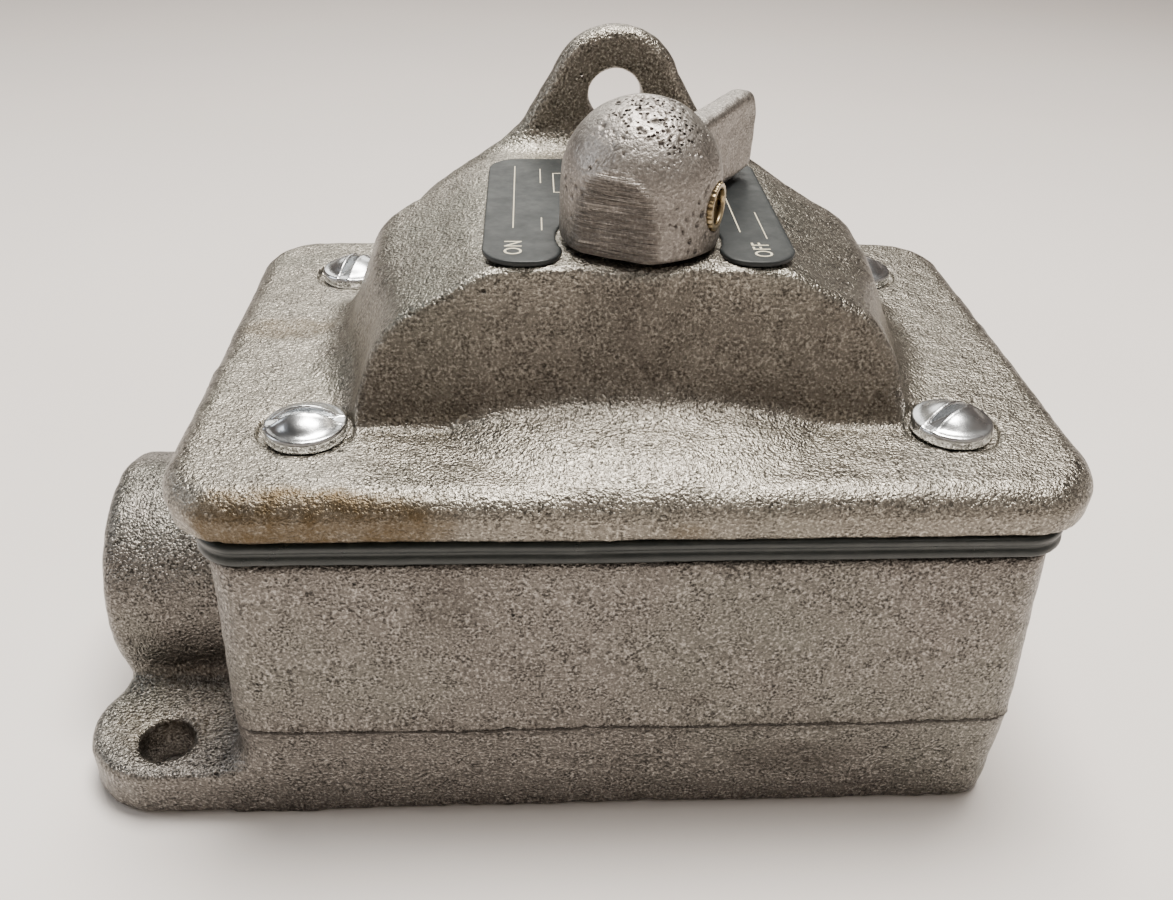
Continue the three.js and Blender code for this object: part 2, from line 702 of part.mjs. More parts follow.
function addHandle() {
  const sleeve = washer(bushing, 20).translate([handle.x, handle.y, 0]);
  isolator.add(toMesh('shaft_bushing', sleeve, brass));
  isolator.add(toMesh('shaft_o_ring', oRingBody(), gasketRubber));
  const turning = new THREE.Group();
  turning.position.set(handle.x, handle.y, 0);
  turning.rotation.z = handle.offTurn;
  turning.add(toMesh('handle', handleBody(), castAluminium));
  turning.add(toMesh('handle_set_screw', handleSetScrewBody(), brass));
  turning.add(toMesh('handle_shaft', shaftBody(), turnedSteel));
  turning.add(toMesh('thrust_washer', washer(thrustWasher), brass));
  turning.add(toMesh('retaining_ring', retainingRingBody(), turnedSteel));
  turning.add(toMesh('drive_fork', forkBody(), turnedSteel));
  turning.add(toMesh('fork_set_screw', forkSetScrewBody(), turnedSteel));
  isolator.add(turning);
}

function addSwitch() {
  const fixed = new THREE.Group();
  fixed.position.set(device.x, device.y, 0);
  fixed.add(toMesh('switch_base', switchBaseBody(), phenolic));
  fixed.add(toMesh('switch_housing', switchHousingBody(), phenolic));
  fixed.add(toMesh('toggle_pivot_pin', pivotPinBody(), turnedSteel));
  fixed.add(toMesh('mounting_strap', strapBody(), zincSteel));
  [-1, 1].forEach((side, i) => {
    const seat = strap.bottom + strap.thickness + GAP;
    const screw = toMesh(`strap_screw_${i + 1}`, smallScrew(strapScrew, seat), zincSteel);
    screw.position.x = side * strap.screwX;
    fixed.add(screw);
  });
  poles.forEach((y, i) => {
    fixed.add(toMesh(`fixed_contact_${i + 1}`, fixedContactBody(y), brass));
    const screw = toMesh(`terminal_screw_${i + 1}`, smallScrew(terminalScrew, contact.stripTop + GAP), brass);
    screw.position.set(device.halfX + terminal.screwX, y, 0);
    fixed.add(screw);
  });
  isolator.add(fixed);

  const swinging = new THREE.Group();
  swinging.position.set(device.x, device.y, pivot.z);
  swinging.rotation.y = toggleTilt;
  swinging.add(toMesh('toggle_lever', toggleLeverBody(), phenolic));
  swinging.add(toMesh('contact_carrier', carrierBody(), phenolic));
  swinging.add(toMesh('toggle_spring', springBody(), turnedSteel));
  bridges.forEach((y, i) => swinging.add(toMesh(`contact_bridge_${i + 1}`, contactBridgeBody(y), brass)));
  isolator.add(swinging);
}

addBox();
addHandle();
addSwitch();

export default isolator;
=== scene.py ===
"""The looks of a cast aluminium isolator switch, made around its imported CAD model.

The castings, the screws, the gasket and the plate are made as distance fields on a grid, so that their
corners blend as cast and pressed metal does, and each field's zero surface becomes a mesh. Fields are in
millimetres in the CAD frame; meshes are in metres.
"""

import json
import math

import bpy
import numpy as np
from mathutils import Matrix, Vector


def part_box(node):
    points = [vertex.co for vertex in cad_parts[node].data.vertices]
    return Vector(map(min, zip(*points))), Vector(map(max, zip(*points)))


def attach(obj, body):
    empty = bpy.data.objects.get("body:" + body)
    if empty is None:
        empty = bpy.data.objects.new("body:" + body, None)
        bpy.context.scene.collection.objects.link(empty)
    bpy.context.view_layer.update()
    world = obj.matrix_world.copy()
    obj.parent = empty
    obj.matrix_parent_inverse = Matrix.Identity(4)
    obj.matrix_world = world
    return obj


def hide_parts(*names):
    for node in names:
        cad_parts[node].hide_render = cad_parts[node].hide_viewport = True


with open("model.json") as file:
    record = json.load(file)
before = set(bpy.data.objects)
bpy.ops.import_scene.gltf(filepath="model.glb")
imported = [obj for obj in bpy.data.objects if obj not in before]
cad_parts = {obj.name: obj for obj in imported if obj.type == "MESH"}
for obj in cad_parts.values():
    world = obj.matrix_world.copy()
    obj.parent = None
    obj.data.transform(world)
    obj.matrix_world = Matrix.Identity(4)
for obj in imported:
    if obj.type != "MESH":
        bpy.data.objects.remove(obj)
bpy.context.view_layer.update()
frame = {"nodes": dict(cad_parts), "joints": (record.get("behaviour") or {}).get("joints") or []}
MM = 0.001


# ---------------- places, from the frame


def node_box(name):
    """A CAD node's lowest and highest corners, in millimetres."""
    low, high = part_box(name)
    return np.array(low) / MM, np.array(high) / MM


def joint_place(name):
    joint = next(j for j in frame["joints"] if j["name"] == name)
    return np.array(joint["pos_m"]) / MM


COVER_LOW, COVER_HIGH = node_box("cover")
BASE_LOW, BASE_HIGH = node_box("base_box")
GASKET_LOW, GASKET_HIGH = node_box("cover_gasket")
PLATE_LOW, PLATE_HIGH = node_box("nameplate")
HANDLE_LOW, HANDLE_HIGH = node_box("handle")
AXIS_X, AXIS_Y, _ = joint_place("handle_turn")
SCREW_LOW, SCREW_HIGH = node_box("cover_screw_1")
SCREW_X, SCREW_Y, _ = np.abs(SCREW_LOW + SCREW_HIGH) / 2
SCREW_RADIUS = (SCREW_HIGH[0] - SCREW_LOW[0]) / 2

RIM_TOP = 53.4  # the cover's flat rim
DOME_TOP = PLATE_LOW[2] - 0.2
SHOULDER = 67.5  # height of the dome's shoulders
WALL = 4.6
COVER_CORNER, RIM_EDGE = 10.0, 3.9  # the radii of the cover's corners in plan and of its rim's edge
COVER_ROOF = 68.5  # height of the hollow inside the cover
SEAT_SINK = 0.8  # the recess for each cover screw's head, in depth and round it
BOSS_HOLE_RADIUS = 5.5  # round the shaft's bushing and O-ring
WELL_RADIUS, WELL_TOP = 7.6, 65.9  # the well under the bushing
HOUSING_RADIUS, HOUSING_FOOT = 9.4, 66.0  # the metal round the bushing, inside the dome
SCREW_HOLE_RADIUS = 3.0
SCREW_POST_RADIUS = 6.5
EAR_FRONT = 24.4
EAR_THICKNESS = 4.8
EAR_RADIUS = 10.0
EAR_HOLE_Z = 81.6
EAR_HOLE_RADIUS = 4.0
PARTING_Z = 16.4  # the line that the mould's halves leave round the box
SKIN = 0.1  # the box's field stands this far inside the CAD faces, and its rough skin fills the rest
BOX_HALF_X = (52.4, 53.0, 52.2)  # at the foot, the parting line and the top
BOX_HALF_Y = (39.2, 39.9, 39.0)
BOX_INSIDE = (47.0, 33.8)  # half the hollow's length and width
BOX_FLOOR = 4.5
HUB_Y, HUB_Z, HUB_RADIUS = -4.5, 17.5, 17.0
LUG_HOLE = (64.0, 32.4)
LUG_CENTRE = (64.3, 28.5)
LUG_RADIUS = 11.0
LUG_HOLE_RADIUS = 3.6
LUG_TOP = 8.0
BORE_RADIUS = 12.5  # of the hub's thread, at its crests
STOP_RADIUS = 10.4  # of the plain hole from the thread into the box
THREAD_PITCH = 1.81
GROUND_BOSS = (29.0, -24.0)
BRACKET_X, BRACKET_Y = 41.5, 3.5  # the lugs inside the box that hold the switch's strap
BRACKET_LOW, BRACKET_HIGH = 31.0, 38.0
STRAP_SCREW_X = 40.0
BLADE_TURN = math.radians(-33)  # the blade's direction at OFF, from +Y
BLADE_FOOT, BLADE_TOP = 75.7, 85.8
BLADE_REACH = 31.4
KNOB_CENTRE_Z = 82.2
KNOB_RADIUS = 10.0
KNOB_FACE = KNOB_RADIUS - 0.22  # the round top's radius as cast
SHAFT_HOLE_RADIUS, SHAFT_HOLE_TOP = 3.5, 87.3
SET_SCREW_Z = 80.2
SET_SCREW_TURN = math.radians(8)
FACET_TURN = math.radians(278)  # the filed flat on the knob's side, from the blade's right-hand side
FACET_REACH = 8.7  # the flat's distance from the shaft's axis
FACET_KNEE_Z = 79.5  # above this the flat leans out
PITTED_POINT = (math.radians(22), math.radians(-80))  # middle of the pitted crown: lean and turn


# ---------------- distance fields


def smooth_min(a, b, k):
    """The union of two fields, with a fillet about k wide where they meet."""
    h = np.clip(0.5 + 0.5 * (b - a) / k, 0, 1)
    return b + (a - b) * h - k * h * (1 - h)


def smooth_max(a, b, k):
    """The overlap of two fields, with edges rounded about k wide."""
    return -smooth_min(-a, -b, k)


def cut(body, tool, k=0.6):
    return smooth_max(body, -tool, k)


def rectangle(x, y, half_x, half_y, radius):
    """Distance to a rounded rectangle in a plane."""
    qx = np.abs(x) - half_x + radius
    qy = np.abs(y) - half_y + radius
    outside = np.hypot(np.maximum(qx, 0), np.maximum(qy, 0))
    return outside + np.minimum(np.maximum(qx, qy), 0) - radius


def rounded_slab(plan, z, low, high, edge):
    """A plan's distance given height, with the edges between its side and its two faces rounded."""
    across = plan + edge
    along = np.abs(z - (low + high) / 2) - (high - low) / 2 + edge
    outside = np.hypot(np.maximum(across, 0), np.maximum(along, 0))
    return outside + np.minimum(np.maximum(across, along), 0) - edge


def screw_distances(x, y):
    """The distance from the axis of each of the four cover screws, one after another."""
    for side_x in (-SCREW_X, SCREW_X):
        for side_y in (-SCREW_Y, SCREW_Y):
            yield np.hypot(x - side_x, y - side_y)


def bump_at(value, middle, width):
    """A smooth hill, 1 high where value is middle."""
    return np.exp(-(((value - middle) / width) ** 2))


def plane(x, y, z, *points):
    """Signed distance to the plane through three points; the origin's side of it is inside."""
    a, b, c = (np.array(p, float) for p in points)
    normal = np.cross(b - a, c - a)
    normal /= np.linalg.norm(normal)
    if normal @ (a - np.array([0, 3, 40.0])) < 0:
        normal = -normal
    return x * normal[0] + y * normal[1] + z * normal[2] - normal @ a


def grid(low, high, step):
    """Open coordinate arrays over a box with a margin, and the box's first corner and steps."""
    step = np.array(step if np.ndim(step) else (step,) * 3, float)
    low = np.array(low, float) - 2.5 * step
    count = np.ceil((np.array(high, float) + 2.5 * step - low) / step).astype(int) + 1
    axes = [(low[i] + step[i] * np.arange(count[i])).astype(np.float32) for i in range(3)]
    x = axes[0][:, None, None]
    y = axes[1][None, :, None]
    z = axes[2][None, None, :]
    return x, y, z, low, step


def lattice_noise(points, size, seed):
    """Smooth noise from -1 to 1 at points, with features about size millimetres across."""
    table = np.random.default_rng(seed).uniform(-1, 1, 4096).astype(np.float32)
    scaled = np.asarray(points, np.float64) / size
    cell = np.floor(scaled).astype(np.int64)
    t = (scaled - cell).astype(np.float32)
    t = t * t * (3 - 2 * t)
    total = np.zeros(len(scaled), np.float32)
    for corner in np.ndindex(2, 2, 2):
        at = cell + corner
        key = (at[:, 0] * 73856093) ^ (at[:, 1] * 19349663) ^ (at[:, 2] * 83492791)
        weight = np.prod(np.where(corner, t, 1 - t), axis=1)
        total += weight * table[key % 4096]
    return total


def roughen(field, low, step, layers, band=2.0):
    """Adds layers of (size, height, seed) noise to a field near its surface, as a sand mould leaves it."""
    near = np.argwhere(np.abs(field) < band)
    points = low + near * step
    wave = np.zeros(len(near), np.float32)
    for size, height, seed in layers:
        wave += height * lattice_noise(points, size, seed)
    field[tuple(near.T)] += wave
    return field


CORNERS = np.array(list(np.ndindex(2, 2, 2)))
EDGES = [(a, b) for a in range(8) for b in range(a + 1, 8) if np.abs(CORNERS[a] - CORNERS[b]).sum() == 1]


def surface_net(field, low, step):
    """Vertices and quads of a field's zero surface, one vertex in each cell that it crosses."""
    inside = field < 0
    cells = tuple(n - 1 for n in field.shape)
    some = np.zeros(cells, bool)
    every = np.ones(cells, bool)
    for i, j, k in CORNERS:
        part = inside[i : i + cells[0], j : j + cells[1], k : k + cells[2]]
        some |= part
        every &= part
    active = np.argwhere(some & ~every)
    values = np.stack([field[tuple((active + c).T)] for c in CORNERS], 1)
    total = np.zeros((len(active), 3))
    count = np.zeros(len(active))
    for a, b in EDGES:
        fa, fb = values[:, a], values[:, b]
        crossed = (fa < 0) != (fb < 0)
        t = fa / np.where(crossed, fa - fb, 1)
        place = CORNERS[a] + t[:, None] * (CORNERS[b] - CORNERS[a])
        total += place * crossed[:, None]
        count += crossed
    vertices = low + (active + total / count[:, None]) * step
    number = np.full(cells, -1, np.int32)
    number[tuple(active.T)] = np.arange(len(active))
    quads = []
    for axis in range(3):
        u, v = (axis + 1) % 3, (axis + 2) % 3
        ahead = np.take(inside, range(1, field.shape[axis]), axis)
        behind = np.take(inside, range(field.shape[axis] - 1), axis)
        for rising in (True, False):
            at = np.argwhere((ahead > behind) if rising else (ahead < behind))
            at = at[(at[:, u] > 0) & (at[:, v] > 0) & (at[:, u] < cells[u]) & (at[:, v] < cells[v])]
            du, dv = np.eye(3, dtype=int)[u], np.eye(3, dtype=int)[v]
            ring = [at - du - dv, at - dv, at, at - du]
            if rising:
                ring = ring[::-1]
            quads.append(np.stack([number[tuple(r.T)] for r in ring], 1))
    return vertices, np.concatenate(quads)


# ---------------- meshes


def add_object(name, data):
    """A new object in the scene."""
    added = bpy.data.objects.new(name, data)
    bpy.context.scene.collection.objects.link(added)
    return added


def make_mesh(name, vertices, quads):
    """A mesh object in metres from vertices in millimetres."""
    mesh = bpy.data.meshes.new(name)
    mesh.vertices.add(len(vertices))
    mesh.vertices.foreach_set("co", (np.asarray(vertices) * MM).astype(np.float32).ravel())
    mesh.loops.add(quads.size)
    mesh.loops.foreach_set("vertex_index", quads.astype(np.int32).ravel())
    mesh.polygons.add(len(quads))
    mesh.polygons.foreach_set("loop_start", np.arange(0, quads.size, quads.shape[1], dtype=np.int32))
    mesh.update(calc_edges=True)
    mesh.validate()
    mesh.shade_smooth()
    return add_object(name, mesh)


def field_piece(name, field, low, step, keep=1.0, masks=None):
    """A mesh object of a field's surface. keep is the share of faces left; masks are point attributes."""
    vertices, quads = surface_net(field, low, step)
    piece = make_mesh(name, vertices, quads)
    for mask, function in (masks or {}).items():
        attribute = piece.data.attributes.new(mask, "FLOAT", "POINT")
        attribute.data.foreach_set("value", function(vertices).astype(np.float32))
    if keep < 1:
        thin = piece.modifiers.new("thin", "DECIMATE")
        thin.ratio = keep
        bpy.context.view_layer.update()
        depsgraph = bpy.context.evaluated_depsgraph_get()
        reduced = bpy.data.meshes.new_from_object(piece.evaluated_get(depsgraph))
        piece.modifiers.clear()
        piece.data = reduced
        reduced.shade_smooth()
    return piece


def place_piece(piece, body, material, slot, *nodes):
    """Gives a piece its material and body, and has it stand for CAD nodes."""
    piece.data.materials.clear()
    piece.data.materials.append(material)
    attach(piece, body)
    if nodes:
        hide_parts(*nodes)
    return piece


# ---------------- materials


def shade(colour, factor):
    return tuple(factor * c for c in colour)


class Shader:
    """A Principled material with short ways to add the nodes that these materials share."""

    def __init__(self, name, colour, roughness, metallic=0.0):
        self.material = bpy.data.materials.new(name)
        self.material.use_nodes = True
        self.tree = self.material.node_tree
        self.surface = self.tree.nodes["Principled BSDF"]
        self.surface.inputs["Base Color"].default_value = (*colour, 1)
        self.surface.inputs["Roughness"].default_value = roughness
        self.surface.inputs["Metallic"].default_value = metallic
        self.place = self.add("ShaderNodeTexCoord").outputs["Object"]

    def add(self, kind, **settings):
        node = self.tree.nodes.new(kind)
        for key, value in settings.items():
            if key in node.inputs:
                node.inputs[key].default_value = value
            else:
                setattr(node, key, value)
        return node

    def link(self, source, target):
        self.tree.links.new(source, target)

    def noise(self, scale, detail=3.0, roughness=0.55, place=None):
        node = self.add("ShaderNodeTexNoise", Scale=scale, Detail=detail, Roughness=roughness)
        self.link(place or self.place, node.inputs["Vector"])
        return node.outputs["Fac"]

    def cells(self, scale):
        node = self.add("ShaderNodeTexVoronoi", Scale=scale)
        self.link(self.place, node.inputs["Vector"])
        return node.outputs["Distance"]

    def ramp(self, source, low, high, out_low=0.0, out_high=1.0):
        node = self.add("ShaderNodeMapRange", clamp=True)
        ends = {"From Min": low, "From Max": high, "To Min": out_low, "To Max": out_high}
        for key, value in ends.items():
            node.inputs[key].default_value = value
        self.link(source, node.inputs["Value"])
        return node.outputs["Result"]

    def math(self, operation, a, b=0.0):
        node = self.add("ShaderNodeMath", operation=operation)
        for socket, value in zip(node.inputs, (a, b)):
            if isinstance(value, (int, float)):
                socket.default_value = value
            else:
                self.link(value, socket)
        return node.outputs["Value"]

    def times(self, a, b):
        return self.math("MULTIPLY", a, b)

    def mix(self, factor, a, b):
        """Mixes two colours, each a socket or three numbers, by a factor's socket."""
        node = self.add("ShaderNodeMix", data_type="RGBA", clamp_factor=True)
        self.link(factor, node.inputs["Factor"])
        first, second, result = node.inputs[6], node.inputs[7], node.outputs[2]  # the colour sockets
        for socket, value in ((first, a), (second, b)):
            if isinstance(value, tuple):
                socket.default_value = (*value, 1)
            else:
                self.link(value, socket)
        return result

    def axis(self, vector, name):
        node = self.add("ShaderNodeSeparateXYZ")
        self.link(vector, node.inputs["Vector"])
        return node.outputs[name]

    def seam(self):
        """1 along the ragged line where the mould's halves met, round the box's walls."""
        wander = self.times(self.math("SUBTRACT", self.noise(130, 3, 0.6), 0.5), 1.6 * MM)
        height = self.math("SUBTRACT", self.axis(self.place, "Z"), PARTING_Z * MM)
        away = self.math("ABSOLUTE", self.math("ADD", height, wander))
        width = self.ramp(self.noise(700, 3, 0.7), 0.35, 0.65, 0.08 * MM, 0.3 * MM)
        line = self.ramp(self.math("DIVIDE", away, width), 0.5, 1.4, 1.0, 0.0)
        side = self.math("ABSOLUTE", self.axis(self.place, "X"))
        return self.times(line, self.ramp(side, 49.5 * MM, 52.5 * MM, 1.0, 0.0))

    def mask(self, name):
        """A point attribute of the piece, which reads as 0 where the piece has none of that name."""
        return self.add("ShaderNodeAttribute", attribute_name=name).outputs["Fac"]

    def bump(self, height, strength, depth, normal=None):
        """Relief from a height, depth in millimetres, over the relief in normal."""
        node = self.add("ShaderNodeBump", Strength=strength, Distance=depth * MM)
        self.link(height, node.inputs["Height"])
        if normal is not None:
            self.link(normal, node.inputs["Normal"])
        return node.outputs["Normal"]

    def finish(self, colour=None, roughness=None, normal=None):
        for socket, source in (("Base Color", colour), ("Roughness", roughness), ("Normal", normal)):
            if source is not None:
                self.link(source, self.surface.inputs[socket])
        return self.material


# The black used for painted shade and for dirt.
SHADE_AND_DIRT_BLACK = (0.050, 0.041, 0.036)
TAN_STAIN = (0.10, 0.068, 0.032)
GREENISH = (0.26, 0.285, 0.235)
FILED_BROWN = (0.10, 0.083, 0.07)
HOLE_SHADE_BLACK = (0.012, 0.010, 0.009)
SEAM_BLACK = (0.03, 0.026, 0.023)


def mottle_and_side_shade(s, colour):
    """The metal's mottled colour, greenish in patches, with painted shade that darkens it towards brown on
    faces that don't face up.
    """
    side_shade_brown = shade((colour[0], 0.9 * colour[1], 0.82 * colour[2]), 0.5)
    tone = s.mix(s.ramp(s.noise(60, 5, 0.65), 0.34, 0.68), shade(colour, 1.12), shade(colour, 0.86))
    tone = s.mix(s.times(s.ramp(s.noise(28, 3), 0.5, 0.7), 0.35), tone, GREENISH)
    # Painted shade: faces that don't face up are darkened towards brown.
    facing = s.add("ShaderNodeNewGeometry").outputs["Normal"]
    return s.mix(s.ramp(s.axis(facing, "Z"), 0.1, 0.8, 0.32, 0.0), tone, side_shade_brown)


def cast_metal(name, colour, grain_shade_and_glint=1.0, dullness=0.0, seam=False, pitted=False):
    """Bare sand-cast aluminium: grains with painted glints, painted shade in the hollows between them and
    in pits, painted shade and dirt from a point mask, and stains.
    """
    s = Shader(name, colour, 0.4, 1.0)
    tone = mottle_and_side_shade(s, colour)
    sand = s.noise(2700, 1.6, 0.6)
    # Painted shade in the hollows between the sand grains.
    hollow_shade = s.ramp(sand, 0.37, 0.51, 1.0, 0.0)
    coarse = s.ramp(s.noise(420, 3, 0.7), 0.42, 0.58, 0.35, 1.0)
    tone = s.mix(s.times(s.times(hollow_shade, coarse), 0.82 * grain_shade_and_glint), tone, shade(colour, 0.16))
    # Painted highlight: bright glints on the tops of the sand grains.
    tone = s.mix(s.times(s.ramp(sand, 0.55, 0.67), 0.7 * grain_shade_and_glint), tone, shade(colour, 2.1))
    # Small pits, dented by the relief below, with their insides painted dark as shade.
    shaded_pits = s.times(s.ramp(s.cells(430), 0.08, 0.15, 1.0, 0.0), s.ramp(s.noise(210, 2), 0.56, 0.66))
    tone = s.mix(s.times(shaded_pits, 0.85), tone, shade(colour, 0.07))
    # Painted shade in creases, under overhangs and in holes, plus a few dirt smudges on the box, from a
    # point mask.
    grime_and_shade = s.times(s.mask("shade_and_dirt"), s.ramp(s.noise(240, 4, 0.7), 0.25, 0.7, 0.6, 1.0))
    tone = s.mix(s.times(grime_and_shade, 0.62), tone, SHADE_AND_DIRT_BLACK)
    stain = s.times(s.mask("stain"), s.ramp(s.noise(300, 4, 0.7), 0.3, 0.62, 0.45, 1.0))
    tone = s.mix(s.times(stain, 0.85), tone, TAN_STAIN)
    gritty = s.ramp(s.noise(900, 2, 0.6), 0.3, 0.7, 0.28 + dullness, 0.42 + dullness)
    rough = s.math("ADD", gritty, s.times(s.math("MAXIMUM", grime_and_shade, stain), 0.14))
    relief = s.bump(s.noise(900, 3, 0.65), 0.55 * grain_shade_and_glint, 0.4)
    relief = s.bump(sand, 0.9 * grain_shade_and_glint, 0.26, relief)
    relief = s.bump(s.times(shaded_pits, -1.0), 0.8, 0.3, relief)
    if pitted:
        tone, relief = file_marks(s, tone, relief)
        tone, relief = blow_holes(s, tone, relief)
    if seam:
        line = s.seam()
        tone = s.mix(s.times(line, 0.8), tone, SEAM_BLACK)
        relief = s.bump(line, 0.9, 0.4, relief)
    return s.finish(tone, rough, relief)


def file_marks(s, tone, relief):
    """Level brown scratches where the filed mask is."""
    stretch = s.add("ShaderNodeMapping", Scale=(90, 90, 2200))
    s.link(s.place, stretch.inputs["Vector"])
    marks = s.ramp(s.noise(1, 3, 0.6, stretch.outputs["Vector"]), 0.38, 0.62)
    tone = s.mix(s.times(s.mask("filed"), s.ramp(marks, 0, 1, 0.6, 0.1)), tone, FILED_BROWN)
    return tone, s.bump(s.times(marks, s.mask("filed")), 0.9, 0.25, relief)


def blow_holes(s, tone, relief):
    """Fine holes, painted black inside as shade, where the pitted mask is."""
    holes = s.times(s.ramp(s.cells(1500), 0.27, 0.36, 1.0, 0.0), s.mask("pitted"))
    return s.mix(holes, tone, HOLE_SHADE_BLACK), s.bump(s.times(holes, -1.0), 1.0, 0.3, relief)


def plated_steel(name, colour, roughness):
    """Bright steel with a faint grain and a few dull patches."""
    s = Shader(name, colour, roughness, 1.0)
    dull = s.ramp(s.noise(160, 3, 0.6), 0.35, 0.75)
    tint = s.mix(s.times(dull, 0.35), colour, shade(colour, 0.62))
    rough = s.math("ADD", s.times(dull, 0.14), roughness)
    return s.finish(tint, rough, s.bump(s.noise(1900, 3, 0.6), 0.16, 0.1))


def brass_metal(name):
    s = Shader(name, (0.48, 0.37, 0.19), 0.3, 1.0)
    tarnish = s.ramp(s.noise(420, 4, 0.65), 0.3, 0.7)
    colour = s.mix(tarnish, (0.46, 0.38, 0.24), (0.22, 0.16, 0.085))
    rough = s.ramp(s.noise(600, 3, 0.6), 0.3, 0.7, 0.22, 0.42)
    return s.finish(colour, rough, s.bump(s.noise(1700, 2, 0.5), 0.12, 0.1))


def moulded_rubber(name):
    s = Shader(name, (0.013, 0.019, 0.017), 0.38)
    dust = s.ramp(s.noise(360, 4, 0.7), 0.45, 0.8)
    colour = s.mix(s.times(dust, 0.4), (0.006, 0.010, 0.009), (0.04, 0.044, 0.038))
    rough = s.ramp(s.noise(240, 3, 0.6), 0.3, 0.7, 0.26, 0.5)
    return s.finish(colour, rough, s.bump(s.noise(900, 3, 0.6), 0.2, 0.2))


def black_enamel(name):
    s = Shader(name, (0.02, 0.023, 0.024), 0.4)
    s.surface.inputs["Specular IOR Level"].default_value = 0.3
    wear = s.ramp(s.noise(700, 4, 0.7), 0.60, 0.76)
    colour = s.mix(s.times(wear, 0.5), (0.019, 0.022, 0.023), (0.06, 0.063, 0.06))
    rough = s.ramp(s.noise(420, 3, 0.6), 0.3, 0.7, 0.36, 0.55)
    return s.finish(colour, rough, s.bump(s.noise(1300, 2, 0.5), 0.1, 0.1))


def cream_paint(name):
    s = Shader(name, (0.62, 0.57, 0.43), 0.5)
    worn = s.ramp(s.noise(1600, 4, 0.7), 0.55, 0.72)
    return s.finish(s.mix(s.times(worn, 0.6), (0.64, 0.59, 0.45), (0.3, 0.27, 0.2)))


def moulded_phenolic(name):
    s = Shader(name, (0.035, 0.024, 0.018), 0.45)
    flow = s.ramp(s.noise(220, 5, 0.7), 0.35, 0.7)
    colour = s.mix(flow, (0.04, 0.027, 0.02), (0.018, 0.013, 0.011))
    rough = s.ramp(s.noise(500, 3, 0.5), 0.3, 0.7, 0.38, 0.55)
    return s.finish(colour, rough, s.bump(s.noise(1200, 3, 0.5), 0.12, 0.1))


def white_paper(name):
    """Pale paper that darkens behind the object, away from the light."""
    s = Shader(name, (0.74, 0.705, 0.69), 0.85)
    near = s.mix(s.ramp(s.noise(9, 3, 0.5), 0.3, 0.7), (0.83, 0.79, 0.76), (0.79, 0.745, 0.715))
    return s.finish(s.mix(s.ramp(s.axis(s.place, "Y"), -0.05, 0.75), near, (0.33, 0.295, 0.28)))


CAST = cast_metal("cast_aluminium", (0.30, 0.278, 0.240))
BOX_CAST = cast_metal("box_aluminium", (0.215, 0.199, 0.181), grain_shade_and_glint=1.15, seam=True)
HANDLE_CAST = cast_metal("handle_casting", (0.37, 0.345, 0.32), grain_shade_and_glint=0.5, dullness=0.10, pitted=True)
ZINC = plated_steel("zinc_steel", (0.66, 0.68, 0.70), 0.2)
STEEL = plated_steel("turned_steel", (0.45, 0.46, 0.47), 0.3)
BRASS = brass_metal("brass")
RUBBER = moulded_rubber("gasket_rubber")
ENAMEL = black_enamel("nameplate_enamel")
CREAM = cream_paint("cream_paint")
PHENOLIC = moulded_phenolic("phenolic")
PAPER = white_paper("white_paper")


# ---------------- cover


def dome_field(x, y, z):
    """The dome: a wide block with sloping shoulders, and a narrower one behind it that carries the ear."""
    side_x = np.abs(x)
    wall = plane(side_x, y, z, (39.5, -5, RIM_TOP), (39.8, 11, RIM_TOP), (34.0, 3, SHOULDER))
    front_corner = plane(side_x, y, z, (34, -24, RIM_TOP), (39.5, -5, RIM_TOP), (28.3, -22.6, SHOULDER))
    rear_corner = plane(side_x, y, z, (39.6, 11.5, RIM_TOP), (36, 14.3, RIM_TOP), (34.6, 11, SHOULDER))
    shoulder = plane(side_x, y, z, (33.2, -5, SHOULDER), (34.6, 11, 67.4), (21.6, 3, 72.8))
    front_shoulder = plane(side_x, y, z, (33.2, -5, SHOULDER), (28.3, -22.6, SHOULDER), (21.6, -4, 72.8))
    wide = smooth_max(smooth_max(wall, front_corner, 1.0), rear_corner, 1.4)
    wide = smooth_max(wide, smooth_max(shoulder, front_shoulder, 0.6), 1.7)
    rear_wall = plane(side_x, y, z, (36, 30, RIM_TOP), (36, 10, RIM_TOP), (31.5, 20, 66.1))
    rear_shoulder = plane(side_x, y, z, (31.5, 28, 66.1), (31.5, 10, 66.1), (18.4, 20, 73.7))
    rear_edge = plane(side_x, y, z, (36, 25, RIM_TOP), (31, 30, RIM_TOP), (27.5, 28, 66.1))
    narrow = smooth_max(smooth_max(rear_wall, rear_edge, 2.5), rear_shoulder, 3.0)
    body = smooth_min(wide, narrow, 1.6)
    body = smooth_max(body, z - DOME_TOP, 1.6)
    front = plane(x, y, z, (0, -24, RIM_TOP), (9, -24, RIM_TOP), (0, -22.5, SHOULDER))
    rear = plane(x, y, z, (0, 30, RIM_TOP), (9, 30, RIM_TOP), (0, 28.4, SHOULDER))
    return smooth_max(smooth_max(body, front, 1.1), rear, 3.0)


BOSS_FOOT = [(10, 5.0), (12.3, 3.8), (15.5, 2.8), (20, 1.9), (22.5, 1.2), (24.5, 0.2), (26, -1.1), (30, -5)]


def boss_field(x, y, z, plan):
    """The shaft's boss, and its foot, which flares over the rim and rolls down the cover's front edge.

    BOSS_FOOT gives the foot's height over the rim at each distance from the shaft's axis.
    """
    reach = np.hypot(x - AXIS_X, y - AXIS_Y)
    barrel = smooth_max(reach - 10.3 - 0.03 * (DOME_TOP - z), z - DOME_TOP, 1.6)
    rise = np.interp(reach, *zip(*BOSS_FOOT))
    foot = (z - RIM_TOP - rise.astype(np.float32)) * 0.93
    foot = smooth_max(foot, plan + 0.2, 7.5)
    return smooth_min(barrel, foot, 3.0)


